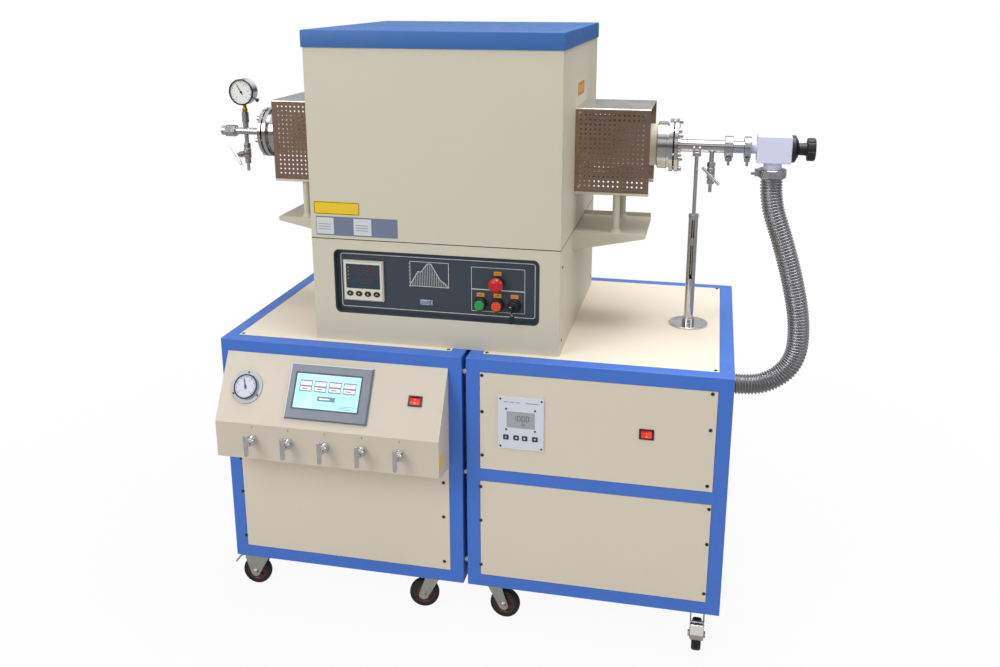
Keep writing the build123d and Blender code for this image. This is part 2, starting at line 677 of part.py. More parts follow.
def console_profile(inset, back):
    """Side view of the console, set in by a sheet thickness for the hollow."""
    run = Vector(-CONSOLE_DEPTH, CONSOLE_BEND_Z - CONSOLE_TOP)
    slope_out = inset * run.length / CONSOLE_DEPTH
    bend = (-CONSOLE_DEPTH + inset,
            CONSOLE_BEND_Z - slope_out + inset * (CONSOLE_TOP - CONSOLE_BEND_Z) / CONSOLE_DEPTH)
    top_z = CONSOLE_TOP - slope_out + back * (CONSOLE_TOP - CONSOLE_BEND_Z) / CONSOLE_DEPTH
    points = [(back, CONSOLE_BACK_Z + inset), (-CONSOLE_DEPTH + inset, CONSOLE_LOWER_Z + inset), bend,
              (back, top_z)]
    return make_face(Polyline(*points, close=True))


def build_console():
    """Sloped sheet console with its screen, gauge, switch and five gas valves."""
    width = CONSOLE_RIGHT - CONSOLE_LEFT
    shell = Pos(CONSOLE_RIGHT, 0, 0) * extrude(Plane.YZ * console_profile(0, 0), -width)
    hollow = Pos(CONSOLE_RIGHT - CONSOLE_SHEET, 0, 0) * extrude(
        Plane.YZ * console_profile(CONSOLE_SHEET, 0), -(width - 2 * CONSOLE_SHEET))
    shell -= hollow
    rear_width = SCREEN_WIDTH - 2 * SCREEN_REAR_MARGIN
    rear_height = SCREEN_HEIGHT - 2 * SCREEN_REAR_MARGIN
    cut = Box(rear_width, rear_height, 20)
    shell -= on_slope(SCREEN_X, SCREEN_DOWN) * cut
    shell -= on_slope(CONSOLE_GAUGE_X, CONSOLE_GAUGE_DOWN) * Cylinder(CONSOLE_GAUGE_CASE_RADIUS - 2, 20)
    shell -= on_slope(CONSOLE_SWITCH_X, CONSOLE_SWITCH_DOWN) * switch_hole(Plane.XY)
    for x in GAS_VALVE_X:
        shell -= rod(BONNET_RADIUS, (x, 0, GAS_VALVE_Z), (0, -1, 0), CONSOLE_DEPTH + 5)
    add("gas_console", shell)

    bezel = Pos(0, 0, SCREEN_STAND / 2) * Box(SCREEN_WIDTH, SCREEN_HEIGHT, SCREEN_STAND)
    bezel = chamfer(bezel.faces().sort_by(Axis.Z)[-1].edges(), 3)
    bezel += Pos(0, 0, -SCREEN_REAR_DEPTH / 2) * Box(rear_width, rear_height, SCREEN_REAR_DEPTH)
    bezel -= Pos(-4, 2, SCREEN_STAND) * Box(LCD_WIDTH, LCD_HEIGHT, 2)
    add("touch_screen", on_slope(SCREEN_X, SCREEN_DOWN) * bezel)

    bodies = []
    for i, x in enumerate(GAS_VALVE_X):
        face = (x, -CONSOLE_DEPTH, GAS_VALVE_Z)
        inside = rod(BONNET_RADIUS, (x, GAS_VALVE_REAR - CONSOLE_DEPTH, GAS_VALVE_Z), (0, -1, 0),
                     GAS_VALVE_REAR)
        inside += rod(12, (x, GAS_VALVE_REAR - CONSOLE_DEPTH, GAS_VALVE_Z), (0, -1, 0),
                      GAS_VALVE_REAR - CONSOLE_SHEET)
        body = inside + hexagon(24, face, (0, -1, 0), 6)
        body += lathe([(6, 9.5), (15, 9.5), (17, BONNET_RADIUS), (24, BONNET_RADIUS)], face, (0, -1, 0))
        body -= rod(VALVE_STEM_RADIUS + RUNNING_CLEARANCE, (x, -CONSOLE_DEPTH - 10, GAS_VALVE_Z),
                    (0, -1, 0), 20)
        bodies.append(body)
        add(f"gas_valve_handle_{i + 1}", gas_handle(x))
    add("gas_valve_bodies", *bodies)


def gas_handle(x):
    """Bar handle on its stem, square to the console's lower face."""
    start = (x, -CONSOLE_DEPTH - 12, GAS_VALVE_Z)
    handle = rod(VALVE_STEM_RADIUS, start, (0, -1, 0), 20)
    handle += lathe([(12.5, 5.5), (21, 5.5), (22, 4.5)], start, (0, -1, 0))
    bar = Box(9, 6, GAS_BAR_LENGTH)
    bar = fillet(bar.edges().filter_by(Axis.Y), 3)
    return handle + Pos(x, -CONSOLE_DEPTH - 12 - 23, GAS_VALVE_Z) * bar


# ---------------------------------------------------------------- furnace

def build_furnace():
    """Base, body and top cover, with the fibre block, elements and work tube inside."""
    x, y = (FURNACE_LEFT, FURNACE_RIGHT), (FURNACE_FRONT, FURNACE_BACK)
    t = FURNACE_SHEET
    inner_x, inner_y = (x[0] + t, x[1] - t), (y[0] + t, y[1] - t)
    base = slab(x, y, (CABINET_TOP, BASE_TOP)) - slab(inner_x, inner_y, (CABINET_TOP - 1, BASE_TOP - t))
    base -= Pos(0, FURNACE_FRONT, 0) * panel_outline(0, 3 * t, -t)
    add("furnace_base", base)

    hole_radius = TUBE_RADIUS + TUBE_HOLE_CLEARANCE
    z = (BASE_TOP, BODY_TOP)
    hole = rod(hole_radius, (FURNACE_LEFT - 1, AXIS_Y, AXIS_Z), (1, 0, 0), FURNACE_WIDTH + 2)
    ends = [slab(span, inner_y, z) - hole for span in ((x[0], inner_x[0]), (inner_x[1], x[1]))]
    add("furnace_body", slab(x, (y[0], inner_y[0]), z), slab(x, (inner_y[1], y[1]), z), *ends)
    add("furnace_top_cover", top_cover())

    m = INSULATION_MARGIN
    block = slab((x[0] + m, x[1] - m), (y[0] + m, y[1] - m), (BASE_TOP, BODY_TOP - INSULATION_TOP_GAP))
    block -= slab((FURNACE_X - CHAMBER_LENGTH / 2, FURNACE_X + CHAMBER_LENGTH / 2),
                  (AXIS_Y - CHAMBER_HALF_DEPTH, AXIS_Y + CHAMBER_HALF_DEPTH),
                  (AXIS_Z - CHAMBER_HALF_HEIGHT, AXIS_Z + CHAMBER_HALF_HEIGHT))
    block -= rod(TUBE_RADIUS, (x[0], AXIS_Y, AXIS_Z), (1, 0, 0), FURNACE_WIDTH)
    elements = []
    for i in range(ELEMENT_COUNT):
        for side in (-1, 1):
            place = (FURNACE_X + ELEMENT_PITCH * (i - (ELEMENT_COUNT - 1) / 2),
                     AXIS_Y + side * ELEMENT_OFFSET_Y)
            elements.append(heating_element(*place))
            for leg in (-1, 1):
                hole = ELEMENT_TERMINAL_RADIUS + ELEMENT_HOLE_CLEARANCE
                block -= rod(hole, (place[0] + leg * ELEMENT_LEG_GAP / 2, place[1], AXIS_Z), (0, 0, 1),
                             BODY_TOP - AXIS_Z)
    add("furnace_insulation", block)
    add("heating_elements", *elements)

    length = FURNACE_WIDTH + 2 * (FLANGE_START + BARREL_LENGTH)
    tube_left = FURNACE_LEFT - FLANGE_START - BARREL_LENGTH
    add("work_tube", rod(TUBE_RADIUS, (tube_left, AXIS_Y, AXIS_Z), (1, 0, 0), length, TUBE_BORE_RADIUS))


def heating_element(x, y):
    """Hairpin element: thick terminals through the roof, carried by a collar, and a thin bent hot end."""
    bottom = AXIS_Z - CHAMBER_HALF_HEIGHT + 20 + ELEMENT_LEG_GAP / 2
    roof = AXIS_Z + CHAMBER_HALF_HEIGHT
    block_top = BODY_TOP - INSULATION_TOP_GAP
    loop = revolve(Plane.XY * (Pos(ELEMENT_LEG_GAP / 2, 0) * Circle(ELEMENT_RADIUS)), axis=Axis.Y,
                   revolution_arc=180)
    if loop.bounding_box().max.Z > ELEMENT_RADIUS + 1:
        loop = Rot(180, 0, 0) * loop
    element = Pos(x, y, bottom) * loop
    for leg in (-1, 1):
        leg_x = x + leg * ELEMENT_LEG_GAP / 2
        element += rod(ELEMENT_RADIUS, (leg_x, y, bottom), (0, 0, 1), roof - bottom - 10)
        element += rod(ELEMENT_TERMINAL_RADIUS, (leg_x, y, roof - 12), (0, 0, 1),
                       block_top + ELEMENT_TERMINAL_STAND - roof + 12)
        element += rod(ELEMENT_TERMINAL_RADIUS + 5, (leg_x, y, block_top), (0, 0, 1), 8)
    return element


def top_cover():
    """Cover that drops over the body and overhangs it all round."""
    o = COVER_OVERHANG
    outer_x = (FURNACE_LEFT - o, FURNACE_RIGHT + o)
    outer_y = (FURNACE_FRONT - o, FURNACE_BACK + o)
    t = COVER_SHEET
    cover = slab(outer_x, outer_y, (COVER_TOP - COVER_HEIGHT, COVER_TOP))
    cover = fillet(cover.edges().group_by(Axis.Z)[-1], 2)
    inner = slab((outer_x[0] + t, outer_x[1] - t), (outer_y[0] + t, outer_y[1] - t),
                 (COVER_TOP - COVER_HEIGHT - 1, COVER_TOP - t))
    cover -= inner
    return cover


# ---------------------------------------------------------------- control panel

def panel_outline(grow, depth, start=0.0):
    """Rounded rectangle of the control opening, grown all round, as a block along +Y."""
    width = PANEL_RIGHT - PANEL_LEFT + 2 * grow
    height = PANEL_TOP - PANEL_BOTTOM + 2 * grow
    centre = ((PANEL_LEFT + PANEL_RIGHT) / 2, start, (PANEL_BOTTOM + PANEL_TOP) / 2)
    face = RectangleRounded(width, height, max(PANEL_CORNER + grow, 1))
    return Pos(*centre) * extrude(Plane.XZ * face, -depth)


def push_guide(x, z, height):
    """Fixed bezel of a button, with the guide that its stem slides in behind the panel."""
    front = (x, PLATE_FRONT, z)
    ring = lathe([(0, BEZEL_RADIUS), (height - 2, BEZEL_RADIUS), (height, BEZEL_RADIUS - 1.5)], front,
                 (0, -1, 0))
    ring -= rod(BUTTON_RADIUS + 0.5, (x, PLATE_FRONT - 0.5, z), (0, -1, 0), height + 1)
    barrel = rod(BUTTON_HOLE_RADIUS - 0.2, (x, PLATE_FRONT + 30, z), (0, -1, 0), 30)
    return (ring + barrel) - rod(BUTTON_STEM_RADIUS + RUNNING_CLEARANCE, (x, PLATE_FRONT + 25, z),
                                 (0, -1, 0), 60)


def push_button(x, z):
    """Round button cap on its stem."""
    height = BEZEL_HEIGHT + 5
    cap = lathe([(BUTTON_TRAVEL + 3, BUTTON_RADIUS), (height - 1.5, BUTTON_RADIUS),
                 (height, BUTTON_RADIUS - 1.5)],
                (x, PLATE_FRONT, z), (0, -1, 0))
    return cap + rod(BUTTON_STEM_RADIUS, (x, PLATE_FRONT + 18, z), (0, -1, 0), height + 10)


def stop_button(x, z):
    """Mushroom head of the emergency stop on its stem."""
    low = STOP_BEZEL_HEIGHT + STOP_TRAVEL + 2
    head = [(low, STOP_RADIUS - 3), (low + 1.5, STOP_RADIUS), (low + 7, STOP_RADIUS),
            (low + 11, STOP_RADIUS - 3.5),
            (low + 13, STOP_RADIUS - 9)]
    cap = lathe(head, (x, PLATE_FRONT, z), (0, -1, 0))
    return cap + rod(BUTTON_STEM_RADIUS, (x, PLATE_FRONT + 18, z), (0, -1, 0), low + 20)


def key_switch(x, z):
    """Turning barrel of the key switch with its key in place."""
    front = (x, PLATE_FRONT, z)
    barrel = lathe([(2, BUTTON_RADIUS), (14, BUTTON_RADIUS), (15.5, BUTTON_RADIUS - 1.5)], front, (0, -1, 0))
    barrel += rod(BUTTON_STEM_RADIUS, (x, PLATE_FRONT + 18, z), (0, -1, 0), 24)
    blade = slab((x - 1.2, x + 1.2), (PLATE_FRONT - 26, PLATE_FRONT - 14), (z - 4, z + 4))
    bow = Pos(x, PLATE_FRONT - 33, z) * Rot(0, 90, 0) * (Cylinder(9, 2.4) - Pos(0, 4, 0) * Cylinder(2.2, 6))
    return barrel + blade + bow


def build_control_panel():
    """Recessed tray with the controller, the push buttons, the key switch and the serial port."""
    tray = Pos(0, FURNACE_FRONT, 0) * panel_outline(-TRAY_CLEARANCE, PANEL_RECESS + TRAY_SHEET)
    tray += Pos(0, FURNACE_FRONT, 0) * panel_outline(TRAY_FLANGE, TRAY_SHEET, FURNACE_SHEET)
    tray -= Pos(0, FURNACE_FRONT, 0) * panel_outline(-TRAY_SHEET - TRAY_CLEARANCE, PANEL_RECESS + 1, -1)
    plate_cut = (PLATE_FRONT - 5, PLATE_FRONT + 2 * TRAY_SHEET)
    half = CONTROLLER_REAR / 2
    tray -= slab((CONTROLLER_X - half, CONTROLLER_X + half), plate_cut,
                 (CONTROLLER_Z - half, CONTROLLER_Z + half))
    for x, z in [(x, BUTTON_Z) for x in BUTTON_X] + [(BUTTON_X[1], STOP_Z)]:
        tray -= rod(BUTTON_HOLE_RADIUS, (x, PLATE_FRONT - 5, z), (0, 1, 0), 5 + 2 * TRAY_SHEET)
    tray -= slab((PORT_X - 9, PORT_X + 9), plate_cut, (PORT_Z - 5, PORT_Z + 5))
    add("control_panel", tray)

    size = CONTROLLER_SIZE / 2
    bezel = slab((-size, size), (-CONTROLLER_STAND, 0), (-size, size))
    bezel = chamfer(bezel.faces().sort_by(Axis.Y)[0].edges(), 2)
    bezel += slab((-half + 0.4, half - 0.4), (0, CONTROLLER_REAR_DEPTH), (-half + 0.4, half - 0.4))
    bezel -= slab((-size + 7, size - 7), (-CONTROLLER_STAND - 1, -CONTROLLER_STAND + 1),
                  (-size + 30, size - 8))
    for i in range(4):
        bezel += lathe([(0, 6), (1.2, 5.5)], ((i - 1.5) * 22, -CONTROLLER_STAND, -size + 18), (0, -1, 0))
    add("temperature_controller", Pos(CONTROLLER_X, PLATE_FRONT, CONTROLLER_Z) * bezel)

    port = slab((PORT_X - PORT_WIDTH / 2, PORT_X + PORT_WIDTH / 2), (PLATE_FRONT - 2, PLATE_FRONT),
                (PORT_Z - PORT_HEIGHT / 2, PORT_Z + PORT_HEIGHT / 2))
    port += slab((PORT_X - 8.5, PORT_X + 8.5), (PLATE_FRONT - 7, PLATE_FRONT + 14),
                 (PORT_Z - 4.5, PORT_Z + 4.5))
    guides = [push_guide(x, BUTTON_Z, BEZEL_HEIGHT) for x in BUTTON_X[:2]]
    guides += [push_guide(BUTTON_X[2], BUTTON_Z, STOP_BEZEL_HEIGHT),
               push_guide(BUTTON_X[1], STOP_Z, STOP_BEZEL_HEIGHT)]
    gas_switch = on_slope(CONSOLE_SWITCH_X, CONSOLE_SWITCH_DOWN)
    vacuum_switch = CABINET_FACE.location * Pos(VACUUM_SWITCH_X, VACUUM_SWITCH_Z, 0)
    add("panel_fittings", port, *guides, gas_switch * switch_housing(), vacuum_switch * switch_housing())
    add("gas_power_rocker", gas_switch * rocker())
    add("vacuum_power_rocker", vacuum_switch * rocker())
    add("start_button", push_button(BUTTON_X[0], BUTTON_Z))
    add("stop_button", push_button(BUTTON_X[1], BUTTON_Z))
    add("emergency_stop", stop_button(BUTTON_X[1], STOP_Z))
    add("key_switch", key_switch(BUTTON_X[2], BUTTON_Z))

    unit = slab((-UNIT_WIDTH / 2, UNIT_WIDTH / 2), (-UNIT_STAND, 0), (-UNIT_HEIGHT / 2, UNIT_HEIGHT / 2))
    unit = fillet(unit.edges().filter_by(Axis.Y), 3)
    rear_x = UNIT_WIDTH / 2 - UNIT_REAR_MARGIN - 0.4
    rear_z = UNIT_HEIGHT / 2 - UNIT_REAR_MARGIN - 0.4
    unit += slab((-rear_x, rear_x), (0, UNIT_REAR_DEPTH), (-rear_z, rear_z))
    lcd = (UNIT_LCD_WIDTH / 2, UNIT_LCD_HEIGHT / 2)
    unit -= slab((-lcd[0], lcd[0]), (-UNIT_STAND - 1, -UNIT_STAND + 1),
                 (UNIT_LCD_UP - lcd[1], UNIT_LCD_UP + lcd[1]))
    add("vacuum_gauge_unit", Pos(UNIT_X, 0, UNIT_Z) * unit)


# ---------------------------------------------------------------- guards, trays and flanges

def guard(side):
    """Channel of bent sheet over the hot end of the tube, and the two rails that it stands on."""
    x = outward(side, 0, GUARD_LENGTH)
    y = (AXIS_Y - GUARD_HALF_DEPTH, AXIS_Y + GUARD_HALF_DEPTH)
    z = (GUARD_BOTTOM, GUARD_TOP)
    bend_z = z[1] - GUARD_BEND_RADIUS
    walls = [slab(x, span, (z[0], bend_z)) for span in ((y[0], y[0] + GUARD_SHEET),
                                                        (y[1] - GUARD_SHEET, y[1]))]
    roof = slab(x, y, z)
    roof = fillet(roof.edges().filter_by(Axis.X).group_by(Axis.Z)[-1], GUARD_BEND_RADIUS)
    roof = roof & slab(x, y, (bend_z, z[1]))
    roof -= slab(x, (y[0] + GUARD_SHEET, y[1] - GUARD_SHEET), (z[0], z[1] - GUARD_SHEET))
    spans = ((y[0], y[0] + RAIL_WIDTH), (y[1] - RAIL_WIDTH, y[1]))
    rails = [slab(x, span, (z[0] - RAIL_HEIGHT, z[0])) for span in spans]
    return walls + [roof] + rails


def tray(side):
    """Bracket under a guard: plate with tapering cheeks and a raised lip, and the posts on it."""
    x = outward(side, 0, TRAY_LENGTH)
    y = (AXIS_Y - GUARD_HALF_DEPTH, AXIS_Y + GUARD_HALF_DEPTH)
    t = TRAY_PLATE
    plate = slab(x, y, (TRAY_TOP - t, TRAY_TOP))
    root, tip = (x[0], x[1]) if side > 0 else (x[1], x[0])
    outline = Polyline((root, TRAY_TOP), (tip, TRAY_TOP), (tip, TRAY_TOP - TRAY_TIP_DROP),
                       (root, TRAY_TOP - TRAY_ROOT_DROP), close=True)
    cheek = extrude(Plane.XZ * make_face(outline), -t)
    plate += Pos(0, y[0], 0) * cheek + Pos(0, y[1] - t, 0) * cheek
    plate += slab(x, (y[1] - t, y[1]), (TRAY_TOP, TRAY_TOP + TRAY_LIP))
    tip_x = tuple(sorted((tip, tip - side * t)))
    plate += slab(tip_x, y, (TRAY_TOP - TRAY_TIP_DROP, TRAY_TOP))
    back_x = tuple(sorted((root, root + side * t)))
    plate += slab(back_x, y, (TRAY_TOP - TRAY_ROOT_DROP, TRAY_TOP))
    post_x = root + side * POST_OUT
    foot, height = POST_FOOT_HEIGHT, GUARD_BOTTOM - RAIL_HEIGHT - TRAY_TOP
    outline = [(0, POST_FOOT_RADIUS), (foot, POST_RADIUS), (height, POST_RADIUS)]
    places = (y[0] + t + POST_FOOT_RADIUS, y[1] - t - POST_FOOT_RADIUS)
    posts = [lathe(outline, (post_x, post_y, TRAY_TOP), (0, 0, 1)) for post_y in places]
    return [plate] + posts


def tube_flange(side):
    """Barrel over the tube's end, clamping plate, end plate and the bolts that pull them together."""
    face = FURNACE_RIGHT if side > 0 else FURNACE_LEFT
    start = (face + side * FLANGE_START, AXIS_Y, AXIS_Z)
    direction = (side, 0, 0)
    b, p = BARREL_LENGTH, FLANGE_PLATE
    barrel = lathe([(0, BARREL_RADIUS - 1), (1, BARREL_RADIUS), (b - 6, BARREL_RADIUS),
                    (b - 6, BARREL_RADIUS - 3),
                    (b, BARREL_RADIUS - 3), (b, FLANGE_RADIUS), (b + p, FLANGE_RADIUS)],
                   start, direction, TUBE_RADIUS)
    seal = rod(SEAL_RADIUS, (start[0] + side * (b + p), AXIS_Y, AXIS_Z), direction, SEAL_GAP,
               TUBE_BORE_RADIUS)
    end = lathe([(0, FLANGE_RADIUS), (p - 1, FLANGE_RADIUS), (p, FLANGE_RADIUS - 1)],
                (start[0] + side * (b + p + SEAL_GAP), AXIS_Y, AXIS_Z), direction)
    for place in PolarLocations(FLANGE_BOLT_RING, FLANGE_BOLT_COUNT, 15):
        at = place.position
        bolt_start = (start[0] + side * (b + p), AXIS_Y + at.X, AXIS_Z + at.Y)
        end += rod(FLANGE_BOLT_RADIUS, bolt_start, direction, SEAL_GAP)
        head_start = (start[0] + side * (b + 2 * p + SEAL_GAP), AXIS_Y + at.X, AXIS_Z + at.Y)
        end += rod(FLANGE_BOLT_HEAD_RADIUS, head_start, direction, FLANGE_BOLT_HEAD)
    return [barrel, seal, end]


def build_ends():
    """Guards, trays and flanges on both sides of the furnace."""
    add("left_tube_guard", *guard(-1))
    add("right_tube_guard", *guard(1))
    add("guard_trays", *tray(-1), *tray(1))
    add("tube_flanges", *tube_flange(-1), *tube_flange(1))


# ---------------------------------------------------------------- small tee-handle valves

def vent_valve(x, top, heading):
    """Body of a small vent valve that hangs under a line, bored for its stem and with a hose barb."""
    body_top = top - VALVE_NECK_LENGTH
    middle = body_top - VALVE_BODY_LENGTH / 2
    body = rod(VALVE_NECK_RADIUS, (x, AXIS_Y, top), (0, 0, -1), VALVE_NECK_LENGTH)
    body += hexagon(2 * VALVE_BODY_RADIUS - 2, (x, AXIS_Y, body_top), (0, 0, -1), 10)
    b = VALVE_BODY_LENGTH
    body += lathe([(10, 7), (14, VALVE_BODY_RADIUS), (b - 14, VALVE_BODY_RADIUS), (b - 12, 7), (b - 10, 7)],
                  (x, AXIS_Y, body_top), (0, 0, -1))
    body += hexagon(2 * VALVE_BODY_RADIUS - 4, (x, AXIS_Y, body_top - b + 10), (0, 0, -1), 10)
    body += rod(VALVE_BARB_RADIUS, (x, AXIS_Y, body_top - b), (0, 0, -1), VALVE_BARB_LENGTH)
    body -= rod(VALVE_BARB_BORE, (x, AXIS_Y, body_top - b - VALVE_BARB_LENGTH), (0, 0, 1), VALVE_BARB_LENGTH)
    direction = tuple(turned(heading))
    bonnet = rod(BONNET_RADIUS, (x, AXIS_Y, middle), direction, BONNET_REACH)
    bonnet -= rod(VALVE_BODY_RADIUS, (x, AXIS_Y, body_top), (0, 0, -1), b)
    seat = tuple(Vector(x, AXIS_Y, middle) + turned(heading) * VALVE_STEM_SEAT)
    bonnet -= rod(VALVE_STEM_RADIUS + RUNNING_CLEARANCE, seat, direction, BONNET_REACH)
    return [body, bonnet]


def tee_handle(x, top, heading, tilt):
    """Tee bar on its stem, turned about the stem by tilt degrees from upright."""
    middle = top - VALVE_NECK_LENGTH - VALVE_BODY_LENGTH / 2
    stem = lathe([(VALVE_STEM_SEAT, VALVE_STEM_RADIUS), (VALVE_STEM_REACH, VALVE_STEM_RADIUS)],
                 (0, 0, 0), (1, 0, 0))
    stem += rod(5.5, (BONNET_REACH + 0.6, 0, 0), (1, 0, 0), VALVE_STEM_REACH - BONNET_REACH)
    bar = rod(TEE_BAR_RADIUS, (VALVE_STEM_REACH, 0, -TEE_BAR_LENGTH / 2), (0, 0, 1), TEE_BAR_LENGTH)
    return Pos(x, AXIS_Y, middle) * Rot(0, 0, heading) * Rot(tilt, 0, 0) * (stem + bar)


# ---------------------------------------------------------------- gas inlet and gauges

def dial_gauge(radius, depth):
    """Round gauge case with its bezel, dial towards -Y, centred on the dial."""
    case = lathe([(0, radius - 2), (2, radius), (depth, radius), (depth, radius - 1),
                  (depth + GAUGE_BEZEL_STAND, radius - 2)], (0, depth / 2, 0), (0, -1, 0))
    dial = rod(radius - GAUGE_BEZEL_WIDTH, (0, -depth / 2 - GAUGE_BEZEL_STAND - 1, 0), (0, 1, 0),
               GAUGE_BEZEL_STAND + 2)
    return case - dial


def build_lines():
    """Gas inlet line with its gauge and valve on the left, vacuum line and valves on the right."""
    pipe = rod(INLET_PIPE_RADIUS, (LEFT_LINE_X, AXIS_Y, AXIS_Z), (-1, 0, 0), INLET_PIPE_LENGTH)
    collar = rod(INLET_PIPE_RADIUS + 3, (LEFT_LINE_X, AXIS_Y, AXIS_Z), (-1, 0, 0), 5) - pipe
    nut_x = LEFT_LINE_X - INLET_PIPE_LENGTH
    nut = hexagon(INLET_NUT_FLATS, (nut_x, AXIS_Y, AXIS_Z), (-1, 0, 0), INLET_NUT_LENGTH * 0.7)
    nut += rod(INLET_NUT_FLATS * 0.43, (nut_x, AXIS_Y, AXIS_Z), (-1, 0, 0), INLET_NUT_LENGTH)
    nut -= rod(INLET_PORT_RADIUS, (nut_x - INLET_NUT_LENGTH, AXIS_Y, AXIS_Z), (1, 0, 0), INLET_PORT_DEPTH)
    riser = rod(7, (INLET_TEE_X, AXIS_Y, AXIS_Z), (0, 0, 1), INLET_FITTING_TOP - AXIS_Z) - pipe
    riser += hexagon(17, (INLET_TEE_X, AXIS_Y, INLET_FITTING_TOP - 26), (0, 0, 1), 26)
    valve_top = AXIS_Z - INLET_PIPE_RADIUS + 2
    valve = [solid - pipe for solid in vent_valve(INLET_TEE_X, valve_top, LEFT_VALVE_HEADING)]
    add("gas_inlet_line", pipe, collar, nut, riser, *valve)
    add("inlet_valve_handle", tee_handle(INLET_TEE_X, valve_top, LEFT_VALVE_HEADING, 36))

    stem = rod(GAUGE_STEM_RADIUS, (INLET_TEE_X, AXIS_Y, INLET_FITTING_TOP), (0, 0, 1),
               GAUGE_Z - GAUGE_RADIUS - INLET_FITTING_TOP + 3)
    line_gauge = Pos(INLET_TEE_X, AXIS_Y, GAUGE_Z) * dial_gauge(GAUGE_RADIUS, GAUGE_DEPTH) + stem
    c = CONSOLE_GAUGE_CASE_RADIUS
    case = Pos(0, 0, 4) * Rot(-90, 0, 0) * dial_gauge(c, 8)
    flange = rod(CONSOLE_GAUGE_FLANGE_RADIUS, (0, 0, 0), (0, 0, 1), 2.5)
    flange += rod(c - 2.4, (0, 0, -CONSOLE_GAUGE_DEPTH), (0, 0, 1), CONSOLE_GAUGE_DEPTH)
    add("pressure_gauges", line_gauge, on_slope(CONSOLE_GAUGE_X, CONSOLE_GAUGE_DOWN) * (case + flange))
    build_vacuum_line()


def clamp(origin, direction, radius, lip, disc, width, lug):
    """Clamping ring over a pair of discs, with the ears, screw and wing nut that close it."""
    half, grip = width / 2, KF_DISC
    outline = [(-half, lip), (-half, radius - 1.5), (-half + 1.5, radius), (half - 1.5, radius),
               (half, radius - 1.5),
               (half, lip), (grip, lip), (grip, disc + 0.2), (-grip, disc + 0.2), (-grip, lip)]
    ring = along(origin, direction) * revolve(make_face(Polyline(*outline, close=True)), axis=Axis.X)
    place = Plane(origin=origin, x_dir=direction, z_dir=lug).location
    ears = slab((-half * 0.8, half * 0.8), (-9, 9), (radius - 1.5, radius + 7))
    screw = rod(2.5, (0, -16, radius + 3), (0, 1, 0), 34)
    wing = slab((-3, 3), (14, 17.5), (radius - 4, radius + 16))
    wing += rod(5, (0, 9, radius + 3), (0, 1, 0), 9)
    return ring + place * (ears + screw + wing)


